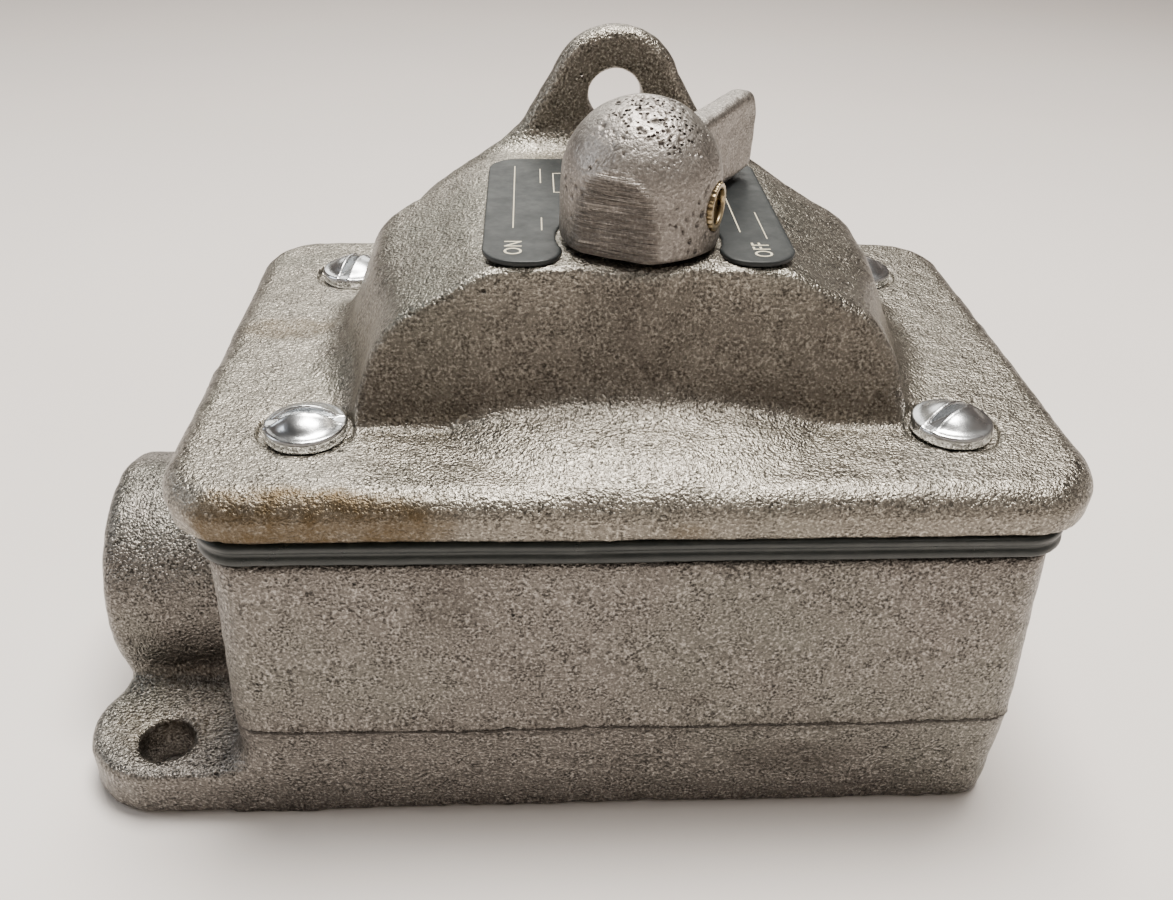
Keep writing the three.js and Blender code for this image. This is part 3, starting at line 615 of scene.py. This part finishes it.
def ear_field(x, y, z):
    """The padlock ear: a rounded plate on flanks that spread towards the dome."""
    tip = np.hypot(x, z - EAR_HOLE_Z) - EAR_RADIUS
    spread, steepness = 0.61, 0.854  # the flank's slope, and the cosine that makes it a distance
    flank = (np.abs(x) - 11.2 - spread * (82 - z)) * steepness
    flanks = smooth_max(flank, z - 86.6, 0.5)
    outline = np.minimum(tip, flanks)
    depth = y - (EAR_FRONT + EAR_THICKNESS / 2)
    return rounded_slab(outline, depth, -EAR_THICKNESS / 2, EAR_THICKNESS / 2, 1.7)


def cover_shade_mask(points):
    """Painted shade round the dome's foot, on its front face and down the boss, and a darker band along the
    rim's side.
    """
    x, y, z = points.T
    near_dome = bump_at(np.maximum(dome_field(x, y, z), 0), 0, 3.0)
    foot = bump_at(z - RIM_TOP, 1, 3.0) * near_dome
    front = np.clip(-21.5 - y, 0, 1) * np.clip((DOME_TOP - 0.6 - z) / 1.2, 0, 1)
    face = front * np.clip((z - RIM_TOP - 1.2 - 2.2 * bump_at(x, 0, 12)) / 1.6, 0, 1)
    boss = 0.25 * bump_at(x, AXIS_X, 4) * front * (z > 60)
    edge = 0.35 * bump_at(z, 49.5, 2.2)
    return np.clip(0.3 * foot * (y > -22) + 0.75 * face + boss + edge, 0, 1)


def patch(points, centre, radii):
    """A soft-edged patch with an uneven outline."""
    away = np.linalg.norm((points - centre) / radii, axis=1)
    away += 0.22 * lattice_noise(points, 7, 11) + 0.12 * lattice_noise(points, 2.2, 12)
    return np.clip((1.1 - away) / 0.35, 0, 1)


def cover_stain(points):
    front = patch(points, (-38, -40, 50), (17, 4.5, 5.5))
    left = patch(points, (-48, 4, 53.4), (7, 3.4, 2))
    spot = patch(points, (6, -40, 48.5), (3, 3, 1.6))
    foot = patch(points, (33, 2, 54), (6, 16, 2.5))
    return np.clip(front + 0.6 * left + 0.5 * spot + 0.35 * foot, 0, 1)


def cover_field(x, y, z):
    half_x, half_y = COVER_HIGH[0] - 0.15, COVER_HIGH[1] - 0.15
    draft = 0.16 * np.maximum(50.2 - z, 0)
    plan = rectangle(x, y, half_x, half_y, COVER_CORNER) + draft
    rim = rounded_slab(plan, z, COVER_LOW[2] - 8, RIM_TOP, RIM_EDGE)
    dome = dome_field(x, y, z)
    fillet = 1.5 + 2.6 * np.clip((y + 21) / 8, 0, 1)  # tight along the front, wider round the sides
    body = smooth_min(rim, dome, fillet)
    body = smooth_min(body, boss_field(x, y, z, plan), 2.0)
    body = smooth_min(body, ear_field(x, y, z), 4.5)
    body = cut(body, smooth_max(dome + WALL, z - COVER_ROOF, 1), 1.0)
    radial = np.hypot(x - AXIS_X, y - AXIS_Y)
    body = cut(body, np.maximum(radial - WELL_RADIUS, z - WELL_TOP), 0.5)
    housing = np.maximum(np.maximum(radial - HOUSING_RADIUS, HOUSING_FOOT - z), z - DOME_TOP)
    body = np.minimum(body, housing)
    body = cut(body, radial - BOSS_HOLE_RADIUS, 0.4)
    for away in screw_distances(x, y):
        body = cut(body, away - SCREW_HOLE_RADIUS, 0.3)
        body = cut(body, np.maximum(away - SCREW_RADIUS - SEAT_SINK, RIM_TOP - SEAT_SINK - z), 0.35)
    ear_hole = np.hypot(x, z - EAR_HOLE_Z) - EAR_HOLE_RADIUS
    in_front = 1e3 * (y < 20)  # keeps the hole out of the dome
    body = cut(body, ear_hole + in_front, 1.4)
    return np.maximum(body, COVER_LOW[2] + 0.05 - z)


def make_cover():
    x, y, z, low, step = grid(COVER_LOW, COVER_HIGH, 0.5)
    field = cover_field(x, y, z).astype(np.float32)
    roughen(field, low, step, [(9, 0.10, 1), (3.2, 0.09, 2), (1.3, 0.08, 3)])
    masks = {"shade_and_dirt": cover_shade_mask, "stain": cover_stain}
    piece = field_piece("cover_casting", field, low, step, 0.5, masks)
    return place_piece(piece, "enclosure", CAST, "cast_aluminium", "cover")


# ---------------- box


def wall_size(z, sizes):
    """Half the box's length or width at a height, from its sizes at the foot, parting line and top."""
    return np.interp(z, (0, PARTING_Z, BASE_HIGH[2]), sizes).astype(np.float32) - SKIN


def lug_field(x, y, z, side):
    """A mounting lug: a disc and the web that joins it to the box."""
    out, along = side * x, side * y - LUG_CENTRE[1]
    disc = np.hypot(out - LUG_CENTRE[0], along) - LUG_RADIUS
    web = rectangle(out - 55, along, 9.3, LUG_RADIUS, 1)
    return rounded_slab(np.minimum(disc, web), z, 0, LUG_TOP, 1.6)


def hub_field(x, y, z):
    """The round conduit hub on the box's end, and the block under it."""
    radial = np.hypot(y - HUB_Y, z - HUB_Z) - HUB_RADIUS
    barrel = rounded_slab(radial, x, BASE_LOW[0] + 1.3, -46, 2.4)
    foot = rounded_slab(rectangle(x + 60, y - HUB_Y, 11, 12, 2), z, 0, 9, 1)
    return smooth_min(barrel, foot, 4)


def shell_field(x, y, z):
    """The box with its hub and lugs, hollowed out, and the screws' posts inside it."""
    half_y = wall_size(z, BOX_HALF_Y)
    plan = rectangle(x, y, wall_size(z, BOX_HALF_X), half_y, 5)
    body = rounded_slab(plan, z, 0, BASE_HIGH[2] + 6, 1.0)
    body = smooth_min(body, hub_field(x, y, z), 4.5)
    lugs = smooth_min(lug_field(x, y, z, -1), lug_field(x, y, z, 1), 0.5)
    body = smooth_min(body, lugs, 5.0)
    body = np.maximum(np.maximum(body, -z), np.abs(y) - half_y)
    cavity = smooth_max(rectangle(x, y, *BOX_INSIDE, 4), BOX_FLOOR - z, 1.5)
    body = cut(body, cavity, 0.6)
    for away in screw_distances(x, y):
        body = smooth_min(body, np.maximum(away - SCREW_POST_RADIUS, 4 - z), 1.5)
    return body


def cut_bore(body, x, y, z):
    """The hub's threaded bore, and the plain hole from it into the box."""
    angle = np.arctan2(z - HUB_Z, y - HUB_Y) / (2 * np.pi)
    thread = np.abs((x / THREAD_PITCH + angle) % 1 - 0.5) * 1.5
    radial = np.hypot(y - HUB_Y, z - HUB_Z)
    body = cut(body, np.maximum(radial - BORE_RADIUS - thread, x + 57), 0.3)
    return cut(body, np.maximum(radial - STOP_RADIUS, x + 44), 0.8)


def base_field(x, y, z):
    body = cut_bore(shell_field(x, y, z), x, y, z)
    for side in (-1, 1):
        hole = np.hypot(x - side * LUG_HOLE[0], y - side * LUG_HOLE[1]) - LUG_HOLE_RADIUS
        body = cut(body, hole, 0.8)
        bracket = rectangle(x - side * BRACKET_X - AXIS_X, y - BRACKET_Y, 6.6, 5.5, 1)
        body = smooth_min(body, rounded_slab(bracket, z, BRACKET_LOW, BRACKET_HIGH, 0.8), 1.0)
        screw_hole = np.hypot(x - AXIS_X - side * STRAP_SCREW_X, y - BRACKET_Y) - 2
        body = cut(body, np.maximum(screw_hole, 32.5 - z), 0.3)
    boss = np.hypot(x - GROUND_BOSS[0], y - GROUND_BOSS[1])
    body = smooth_min(body, np.maximum(np.maximum(boss - 4.5, z - 8.5), 4 - z), 1.0)
    body = cut(body, np.maximum(boss - 2, 5.5 - z), 0.3)
    for away in screw_distances(x, y):
        body = cut(body, np.maximum(away - SCREW_HOLE_RADIUS, 21 - z), 0.3)
    return np.maximum(body, z - BASE_HIGH[2])


def add_parting_line(field, low, step, x, y, z):
    """Raises the thin ragged line that the two halves of the mould leave round the box."""
    near = np.argwhere((np.abs(field) < 1.6) & (np.abs(z - PARTING_Z) < 2.5) & (np.abs(x) < 52))
    points = low + near * step
    height = 0.26 + 0.14 * lattice_noise(points, 2.5, 21) + 0.1 * lattice_noise(points, 0.9, 22)
    wander = 0.35 * lattice_noise(points * (1, 1, 0), 9, 23)
    field[tuple(near.T)] -= height * bump_at(points[:, 2] - PARTING_Z, wander, 0.42)


def base_dirt_and_shade(points):
    """Darker along the parting line, painted shade at the foot and under the gasket, and a few dirt smudges
    in front.
    """
    z = points[:, 2]
    line = 0.55 * bump_at(z, PARTING_Z, 1.1)
    foot = 0.35 * bump_at(z, 0, 3.0)
    under = 0.4 * bump_at(z, BASE_HIGH[2], 2.0)
    smudge = 0.5 * patch(points, (-24, -39, 38), (4, 3, 5))
    smudge += 0.6 * patch(points, (22, -39, 10), (9, 3, 3.5))
    speck = 0.8 * patch(points, (8, -39, 21), (3, 3, 1.0))
    return np.clip(line + foot + under + smudge + speck + 0.1, 0, 1)


def base_stain(points):
    """A faint stain on the front left lug."""
    return 0.3 * patch(points, (-64, -28, 8), (9, 9, 4))


def make_base():
    x, y, z, low, step = grid(BASE_LOW, BASE_HIGH, 0.6)
    field = base_field(x, y, z).astype(np.float32)
    add_parting_line(field, low, step, x, y, z)
    roughen(field, low, step, [(11, 0.12, 4), (3.4, 0.10, 5), (1.5, 0.09, 6)])
    field = np.maximum(field, (-z).astype(np.float32))
    masks = {"shade_and_dirt": base_dirt_and_shade, "stain": base_stain}
    piece = field_piece("box_casting", field, low, step, 0.5, masks)
    return place_piece(piece, "enclosure", BOX_CAST, "cast_aluminium", "base_box")


# ---------------- handle


def turned_place(x, y, turn):
    """Coordinates about the handle's shaft in a frame turned by an angle."""
    dx, dy = x - AXIS_X, y - AXIS_Y
    return dx * math.cos(turn) + dy * math.sin(turn), dy * math.cos(turn) - dx * math.sin(turn)


def facet_depth(across, along, z):
    """Distance outside the flat that a file has left on the knob."""
    out = across * math.cos(FACET_TURN) + along * math.sin(FACET_TURN)
    return out - FACET_REACH - 0.12 * np.maximum(z - FACET_KNEE_Z, 0)


def blade_field(across, along, z):
    """The blade that points at the switch's position, thinner towards its end and its top."""
    middle = (BLADE_FOOT + BLADE_TOP) / 2
    slant = 0.17 * np.maximum(middle + 2 - z, 0)
    top = z - BLADE_TOP - 0.035 * (along - 8)
    outline = smooth_max(along - BLADE_REACH + slant, top, 3.2)
    outline = smooth_max(smooth_max(outline, BLADE_FOOT - z, 1.2), 3 - along, 1)
    half = 2.75 - 0.022 * along - 0.03 * (z - BLADE_FOOT)
    return smooth_max(outline, np.abs(across) - half, 1.3)


def handle_field(x, y, z):
    across, along = turned_place(x, y, BLADE_TURN)
    radial = np.hypot(across, along)
    lean = 0.028 * (KNOB_CENTRE_Z - np.minimum(z, KNOB_CENTRE_Z))
    ball = np.sqrt(radial**2 + np.maximum(z - KNOB_CENTRE_Z, 0) ** 2) - KNOB_FACE - lean
    knob = smooth_max(ball, HANDLE_LOW[2] - z, 0.9)
    knob = smooth_max(knob, facet_depth(across, along, z), 0.35)
    body = smooth_min(knob, blade_field(across, along, z), 2.4)
    body = cut(body, np.maximum(radial - SHAFT_HOLE_RADIUS, z - SHAFT_HOLE_TOP), 0.2)
    side, face = turned_place(x, y, BLADE_TURN + SET_SCREW_TURN)
    away = np.hypot(face, z - SET_SCREW_Z)
    return cut(body, np.maximum(away - 2.9, 2 - side), 0.25)


def knob_point(lean, turn):
    """A point on the knob's round top: lean from the shaft's axis and turn from +X."""
    out = KNOB_FACE * math.sin(lean)
    up = KNOB_FACE * math.cos(lean)
    return np.array([AXIS_X + out * math.cos(turn), AXIS_Y + out * math.sin(turn), KNOB_CENTRE_Z + up])


def pit_places():
    """Blow holes' centres and sizes: most over the front of the knob's top, and a few on its side."""
    random = np.random.default_rng(31)
    middle = knob_point(*PITTED_POINT)
    pits = []
    while len(pits) < 120:
        centre = knob_point(math.radians(random.uniform(0, 66)), random.uniform(0, 2 * math.pi))
        if random.random() < math.exp(-((np.linalg.norm(centre - middle) / 5.4) ** 2)):
            pits.append((centre, random.triangular(0.16, 0.2, 0.36)))
    for _ in range(34):
        side = knob_point(math.pi / 2, random.uniform(math.radians(190), math.radians(330)))
        side[2] = random.uniform(76, 84)
        pits.append((side, random.uniform(0.16, 0.32)))
    return pits


PITS = pit_places()


def dent(field, low, step, centre, size):
    """Cuts a small ball out of a field."""
    first = np.maximum(((centre - low - size * 2.5) / step).astype(int), 0)
    last = ((centre - low + size * 2.5) / step).astype(int) + 2
    window = tuple(slice(a, b) for a, b in zip(first, last))
    part = field[window]
    axes = [low[i] + step[i] * np.arange(first[i], first[i] + part.shape[i]) for i in range(3)]
    away = np.sqrt(
        (axes[0][:, None, None] - centre[0]) ** 2
        + (axes[1][None, :, None] - centre[1]) ** 2
        + (axes[2][None, None, :] - centre[2]) ** 2
    )
    field[window] = smooth_max(part, (size - away).astype(np.float32), 0.12)


def handle_shade_mask(points):
    """Painted shade: black in the blow holes, darker on the knob's side and round its foot."""
    z = points[:, 2]
    side = 0.26 * (z < KNOB_CENTRE_Z + 1) + 0.04
    mask = 0.5 * bump_at(z, HANDLE_LOW[2], 1.2) + side
    for centre, size in PITS:
        away = np.linalg.norm(points - centre, axis=1)
        mask = np.maximum(mask, np.clip((1.25 * size - away) / (0.3 * size), 0, 1))
    return np.clip(mask, 0, 1)


def filed_flat(points):
    """Where a file has flattened the knob's side."""
    x, y, z = points.T
    across, along = turned_place(x, y, BLADE_TURN)
    return bump_at(facet_depth(across, along, z), 0, 0.4) * (np.hypot(across, along) < KNOB_RADIUS)


def pitted_crown(points):
    """Where the fine blow holes lie close together, on the knob's crown."""
    away = np.linalg.norm(points - knob_point(*PITTED_POINT), axis=1)
    patches = 0.8 * lattice_noise(points, 2.6, 36)
    crown = np.clip((7.2 - away) / 2.5 + patches, 0, 1)
    return crown * (np.hypot(points[:, 0] - AXIS_X, points[:, 1] - AXIS_Y) < KNOB_RADIUS)


def make_handle():
    x, y, z, low, step = grid(HANDLE_LOW, HANDLE_HIGH, 0.19)
    field = handle_field(x, y, z).astype(np.float32)
    roughen(field, low, step, [(5, 0.06, 7), (1.6, 0.045, 8)], 1.0)
    add_file_marks(field, low, step)
    for centre, size in PITS:
        dent(field, low, step, centre, size)
    masks = {"shade_and_dirt": handle_shade_mask, "pitted": pitted_crown, "filed": filed_flat}
    piece = field_piece("handle_finished", field, low, step, 0.62, masks)
    return place_piece(piece, "handle", HANDLE_CAST, "handle_casting", "handle")


def add_file_marks(field, low, step):
    """Level scratches over the filed flat."""
    near = np.argwhere(np.abs(field) < 0.6)
    points = low + near * step
    across, along = turned_place(points[:, 0], points[:, 1], BLADE_TURN)
    on_flat = bump_at(facet_depth(across, along, points[:, 2]), 0, 0.35)
    stretched = points * (0.12, 0.12, 1)
    marks = 0.035 * lattice_noise(stretched, 0.42, 34) + 0.03 * lattice_noise(stretched, 0.9, 35)
    field[tuple(near.T)] += marks * on_flat


def make_insert():
    """The threaded brass sleeve that the handle's set screw runs in, a little proud of the knob."""
    inner, outer, start, end = 2.1, 2.85, 6.6, KNOB_RADIUS - 0.05
    x, y, z, low, step = grid((start, -outer, -outer), (end, outer, outer), 0.13)
    away = np.hypot(y, z)
    spin = np.arctan2(z, y)
    thread = 0.16 * np.abs(((x / 0.7 + spin / (2 * np.pi)) % 1) - 0.5)
    sleeve = np.maximum(np.maximum(away - outer + 0.07 * np.cos(22 * spin), start - x), x - end)
    sleeve = smooth_max(sleeve, inner + thread - away, 0.2)
    vertices, quads = surface_net(sleeve.astype(np.float32), low, step)
    turn = BLADE_TURN + SET_SCREW_TURN
    out_x = AXIS_X + vertices[:, 0] * math.cos(turn) - vertices[:, 1] * math.sin(turn)
    out_y = AXIS_Y + vertices[:, 0] * math.sin(turn) + vertices[:, 1] * math.cos(turn)
    placed = np.stack([out_x, out_y, vertices[:, 2] + SET_SCREW_Z], 1)
    piece = make_mesh("set_screw_sleeve", placed, quads)
    return place_piece(piece, "handle", BRASS, "brass")


# ---------------- fasteners


def threaded_rod(radius, low, high, pitch, sides=28):
    """Vertices and quads of a threaded rod along Z, closed at both ends."""
    rows = int((high - low) / pitch * 5)
    heights = np.linspace(low, high, rows + 1)
    turns = np.arange(sides) / sides
    wave = np.abs((heights[:, None] / pitch - turns[None, :]) % 1 - 0.5) * 2
    lead = np.clip((heights - low) / 1.2, 0.55, 1)[:, None]
    size = (radius - 0.3 * pitch * wave) * lead
    ring = np.stack([size * np.cos(2 * np.pi * turns), size * np.sin(2 * np.pi * turns)], -1)
    body = np.concatenate([ring, np.broadcast_to(heights[:, None, None], ring.shape[:2] + (1,))], -1)
    vertices = np.concatenate([body.reshape(-1, 3), [[0, 0, low], [0, 0, high]]])
    i = np.arange(rows)[:, None] * sides
    j = np.arange(sides)[None, :]
    after = (j + 1) % sides
    quads = np.stack([i + j, i + after, i + sides + after, i + sides + j], -1).reshape(-1, 4)
    last = rows * sides
    first_cap = [[after[0, n], n, len(vertices) - 2] for n in range(sides)]
    last_cap = [[last + n, last + after[0, n], len(vertices) - 1] for n in range(sides)]
    return vertices, quads, first_cap + last_cap


def add_rod(piece, rod, centre):
    """Joins a threaded rod into a piece's mesh."""
    vertices, quads, caps = rod
    mesh = bpy.data.meshes.new("rod")
    mesh.from_pydata(((vertices + (centre[0], centre[1], 0)) * MM).tolist(), [], quads.tolist() + caps)
    mesh.update()
    mesh.shade_smooth()
    chosen = [piece, add_object("rod", mesh)]
    with bpy.context.temp_override(active_object=piece, selected_editable_objects=chosen, object=piece):
        bpy.ops.object.join()


def head_field(x, y, z, radius, height, seat, slot, depth, turn):
    """A round slotted head whose slot's corners are a little burred."""
    radial = np.hypot(x, y)
    ball = (radius**2 + height**2) / (2 * height)
    shell = np.sqrt(radial**2 + (z - seat - height + ball) ** 2) - ball
    side = rounded_slab(radial - radius, z, seat, seat + 1.7, 0.45)
    head = smooth_max(smooth_min(shell, side, 0.6), radial - radius, 0.5)
    head = smooth_max(head, seat - z, 0.25)
    across = -x * math.sin(turn) + y * math.cos(turn)
    groove = np.maximum(np.abs(across) - slot / 2, seat + height - depth - z)
    burr = 0.12 * bump_at(np.abs(across) - slot / 2, 0.25, 0.22)
    return cut(head - burr * (z > seat + 1), groove, 0.22)


def make_screw(node, radius, height, slot, depth, turn, rod, step, material, slot_name):
    """A slotted screw in place of a CAD node: its head as a field, its thread as a turned mesh.

    slot and depth size the head's slot, turn is its direction, and rod is the thread's radius.
    """
    low, high = node_box(node)
    centre = (low + high) / 2
    seat = high[2] - height
    x, y, z, first, steps = grid((-radius, -radius, seat), (radius, radius, seat + height), step)
    field = head_field(x, y, z, radius, height, seat, slot, depth, turn).astype(np.float32)
    roughen(field, first, steps, [(2.2, 0.02, 41)], 0.8)
    piece = field_piece(node + "_finished", field, first + (centre[0], centre[1], 0), steps)
    add_rod(piece, threaded_rod(rod, low[2], seat + 0.4, 0.9 if rod > 2 else 0.6), centre)
    return place_piece(piece, "enclosure", material, slot_name, node)


COVER_SLOTS = [5, 33, 72, 20]  # each cover screw's slot, in degrees from +X


def make_screws():
    for i, turn in enumerate(COVER_SLOTS):
        node, angle = f"cover_screw_{i + 1}", math.radians(turn)
        height, slot, depth, rod, step = 3.5, 1.35, 1.7, 2.65, 0.19
        make_screw(node, SCREW_RADIUS, height, slot, depth, angle, rod, step, ZINC, "zinc_steel")
    small = [(f"strap_screw_{i}", 3.45, 2.2, ZINC, "zinc_steel") for i in (1, 2)]
    small += [(f"terminal_screw_{i}", 2.55, 1.7, BRASS, "brass") for i in (1, 2, 3, 4)]
    small.append(("ground_screw", 3.35, 2.0, BRASS, "brass"))
    for i, (node, radius, height, material, slot_name) in enumerate(small):
        rod = 1.35 if node.startswith("terminal") else 1.65
        slot, depth, angle, step = 0.8, 0.9, 0.7 * i, 0.22
        make_screw(node, radius, height, slot, depth, angle, rod, step, material, slot_name)


# ---------------- gasket and nameplate


def gasket_field(x, y, z):
    """A flat ring with two lips round its outer edge and a tab at each screw."""
    outer = rectangle(x, y, GASKET_HIGH[0] - 0.1, GASKET_HIGH[1] - 0.1, 6)
    middle = (GASKET_LOW[2] + GASKET_HIGH[2]) / 2
    lip = 0.32 * bump_at(z, middle, 0.42) + 0.18 * bump_at(z, GASKET_HIGH[2], 0.35)
    sag = 0.35 * bump_at(x, -8, 9) * (y < 0)
    ring = rounded_slab(outer + lip - sag * 0.4, z, GASKET_LOW[2], GASKET_HIGH[2], 0.5)
    ring = np.maximum(ring, -rectangle(x, y, GASKET_HIGH[0] - 7, GASKET_HIGH[1] - 6, 3))
    for away in screw_distances(x, y):
        tab = np.maximum(np.maximum(away - SCREW_POST_RADIUS, GASKET_LOW[2] - z), z - GASKET_HIGH[2])
        ring = np.maximum(np.minimum(ring, tab), 3.2 - away)
    return ring


def make_gasket():
    x, y, z, low, step = grid(GASKET_LOW, GASKET_HIGH, (0.5, 0.5, 0.22))
    field = gasket_field(x, y, z).astype(np.float32)
    roughen(field, low, step, [(6, 0.06, 51), (1.8, 0.04, 52)], 0.8)
    piece = field_piece("gasket_ring", field, low, step, 0.5)
    return place_piece(piece, "enclosure", RUBBER, "gasket_rubber", "cover_gasket")


def plate_field(x, y, z):
    """The plate: a rounded rectangle with a round bay for the knob in its front edge."""
    centre = (PLATE_LOW + PLATE_HIGH) / 2
    half = (PLATE_HIGH - PLATE_LOW) / 2
    outline = rectangle(x - centre[0], y - centre[1], half[0], half[1], 4.5)
    bay = np.hypot(x - AXIS_X, y - AXIS_Y) - KNOB_RADIUS - 0.3
    mouth = np.maximum(np.abs(x - AXIS_X) - KNOB_RADIUS + 0.4, y - AXIS_Y)
    outline = smooth_max(outline, -np.minimum(bay, mouth), 4.5)
    return rounded_slab(outline, z, PLATE_LOW[2] - 0.1, PLATE_HIGH[2], 0.16)


def make_nameplate():
    x, y, z, low, step = grid(PLATE_LOW, PLATE_HIGH, (0.3, 0.3, 0.12))
    field = plate_field(x, y, z).astype(np.float32)
    piece = field_piece("nameplate_finished", field, low, step, 0.4)
    return place_piece(piece, "enclosure", ENAMEL, "nameplate_enamel", "nameplate")


def make_word(text, x, y, size, width):
    """Raised letters that read along +Y, with their tops towards -X."""
    name = "word_" + text.lower()
    curve = bpy.data.curves.new(name, "FONT")
    curve.body = text
    curve.size = size * MM
    curve.extrude = 0.03 * MM
    curve.space_character = 1.1
    word = add_object(name, curve)
    word.matrix_world = (
        Matrix.Translation(Vector((x, y, PLATE_HIGH[2])) * MM)
        @ Matrix.Rotation(math.pi / 2, 4, "Z")
        @ Matrix.Diagonal((width, 1, 1, 1))
    )
    curve.materials.append(CREAM)
    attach(word, "enclosure")
    return word


def make_rule(name, x, y, half_x, half_y):
    """A thin printed line on the plate."""
    face = PLATE_HIGH[2]
    first = (x - half_x, y - half_y, face)
    last = (x + half_x, y + half_y, face + 0.04)
    gx, gy, gz, low, steps = grid(first, last, (0.12, 0.12, 0.02))
    outline = rectangle(gx - x, gy - y, half_x, half_y, min(half_x, half_y) * 0.5)
    field = rounded_slab(outline, gz, face - 0.02, face + 0.03, 0.01)
    piece = field_piece(name, field.astype(np.float32), low, steps, 0.3)
    return place_piece(piece, "enclosure", CREAM, "nameplate_enamel")


def make_printing():
    make_word("ON", -13.9, -19.4, 3.1, 0.86)
    make_word("OFF", 16.4, -20.0, 3.1, 0.78)
    make_rule("rule_on_long", -15.0, 1.2, 0.13, 12.0)
    make_rule("rule_on_rear", -11.4, 9.0, 0.13, 3.0)
    make_rule("rule_on_front", -11.4, -9.4, 0.13, 2.2)
    make_rule("rule_off_long", 13.6, -1.0, 0.13, 11.0)
    make_rule("rule_off_short", 16.6, -9.6, 0.11, 4.6)
    make_rule("box_left", -9.6, 6.2, 0.13, 4.0)
    make_rule("box_right", 9.6, 6.2, 0.13, 4.0)
    make_rule("box_rear", 0, 10.1, 9.7, 0.13)
    make_rule("box_front", 0, 2.3, 9.7, 0.13)


# ---------------- pieces that keep their CAD shape

CONTACTS = [f"fixed_contact_{i}" for i in (1, 2, 3, 4)] + ["contact_bridge_1", "contact_bridge_2"]
STEEL_NODES = ["handle_shaft", "retaining_ring", "drive_fork", "fork_set_screw"]
STEEL_NODES += ["toggle_pivot_pin", "toggle_spring"]
CAD_FINISHES = [
    (RUBBER, ["shaft_o_ring"]),
    (ZINC, ["mounting_strap"]),
    (STEEL, STEEL_NODES),
    (BRASS, ["handle_set_screw", "shaft_bushing", "thrust_washer"] + CONTACTS),
    (PHENOLIC, ["switch_base", "switch_housing", "toggle_lever", "contact_carrier"]),
]


def finish_cad_nodes():
    """Materials and small bevels for the pieces inside the box."""
    finished = [(frame["nodes"][name], material) for material, names in CAD_FINISHES for name in names]
    for node, material in finished:
        node.data.materials.clear()
        node.data.materials.append(material)
        bevel = node.modifiers.new("edges", "BEVEL")
        bevel.width = 0.12 * MM
        bevel.segments = 2
        bevel.limit_method = "ANGLE"
        bevel.angle_limit = math.radians(40)


# ---------------- camera, light and floor

CAMERA_PLACE = Vector((-12.71, -142.23, 126.09)) * MM
CAMERA_YAW = math.radians(3.33)  # to the right of +Y
CAMERA_PITCH = math.radians(32.71)  # below the horizon
CAMERA_ROLL = math.radians(1.42)
CAMERA_LENS = 33.7


def make_camera():
    data = bpy.data.cameras.new("camera")
    data.lens = CAMERA_LENS
    data.sensor_width = 36
    data.clip_start = 0.01
    camera = add_object("camera", data)
    turn = (
        Matrix.Rotation(-CAMERA_YAW, 4, "Z")
        @ Matrix.Rotation(math.pi / 2 - CAMERA_PITCH, 4, "X")
        @ Matrix.Rotation(CAMERA_ROLL, 4, "Z")
    )
    camera.matrix_world = Matrix.Translation(CAMERA_PLACE) @ turn
    bpy.context.scene.camera = camera


def make_backdrop():
    """A round paper floor that curves up into a wall far from the object."""
    floor, bend, wall, sides = 1.15, 0.4, 1.5, 96
    profile = [(0.001, 0.0), (0.3, 0.0), (floor, 0.0)]
    for i in range(1, 17):
        turn = math.pi / 2 * i / 16
        profile.append((floor + bend * math.sin(turn), bend * (1 - math.cos(turn))))
    profile.append((floor + bend, wall))
    turns = [2 * math.pi * j / sides for j in range(sides)]
    points = [(out * math.cos(t), out * math.sin(t), z) for out, z in profile for t in turns]
    faces = []
    for i in range(len(profile) - 1):
        inner, outer = i * sides, (i + 1) * sides
        for j in range(sides):
            after = (j + 1) % sides
            faces.append((inner + j, inner + after, outer + after, outer + j))
    mesh = bpy.data.meshes.new("backdrop")
    mesh.from_pydata(points, [], faces)
    mesh.shade_smooth()
    mesh.materials.append(PAPER)
    backdrop = add_object("backdrop", mesh)


def make_light(name, place, target, size, watts, colour):
    data = bpy.data.lights.new(name, "AREA")
    data.shape = "RECTANGLE"
    data.size, data.size_y = size
    data.energy = watts
    data.color = colour
    light = add_object(name, data)
    light.location = place
    light.rotation_euler = (Vector(target) - Vector(place)).to_track_quat("-Z", "Y").to_euler()


def make_lights():
    middle = (0, 0, 0.05)
    make_light("ceiling", (0.05, 0.12, 0.76), middle, (0.42, 0.30), 15.0, (1.0, 0.95, 0.88))
    make_light("rear_wall", (-0.15, 0.95, 0.62), middle, (0.9, 0.5), 5.0, (1.0, 0.98, 0.91))
    make_light("window", (-0.75, 0.05, 0.42), middle, (0.3, 0.4), 1.5, (0.9, 0.95, 1.0))
    make_light("lamp", (0.35, -0.45, 0.85), middle, (0.35, 0.35), 1.0, (1.0, 0.95, 0.88))
    world = bpy.data.worlds.new("world")
    world.use_nodes = True
    world.node_tree.nodes["Background"].inputs["Color"].default_value = (0.85, 0.80, 0.76, 1)
    world.node_tree.nodes["Background"].inputs["Strength"].default_value = 0.06
    bpy.context.scene.world = world


make_camera()
make_lights()
make_backdrop()
make_cover()
make_base()
make_handle()
make_insert()
make_screws()
make_gasket()
make_nameplate()
make_printing()
finish_cad_nodes()
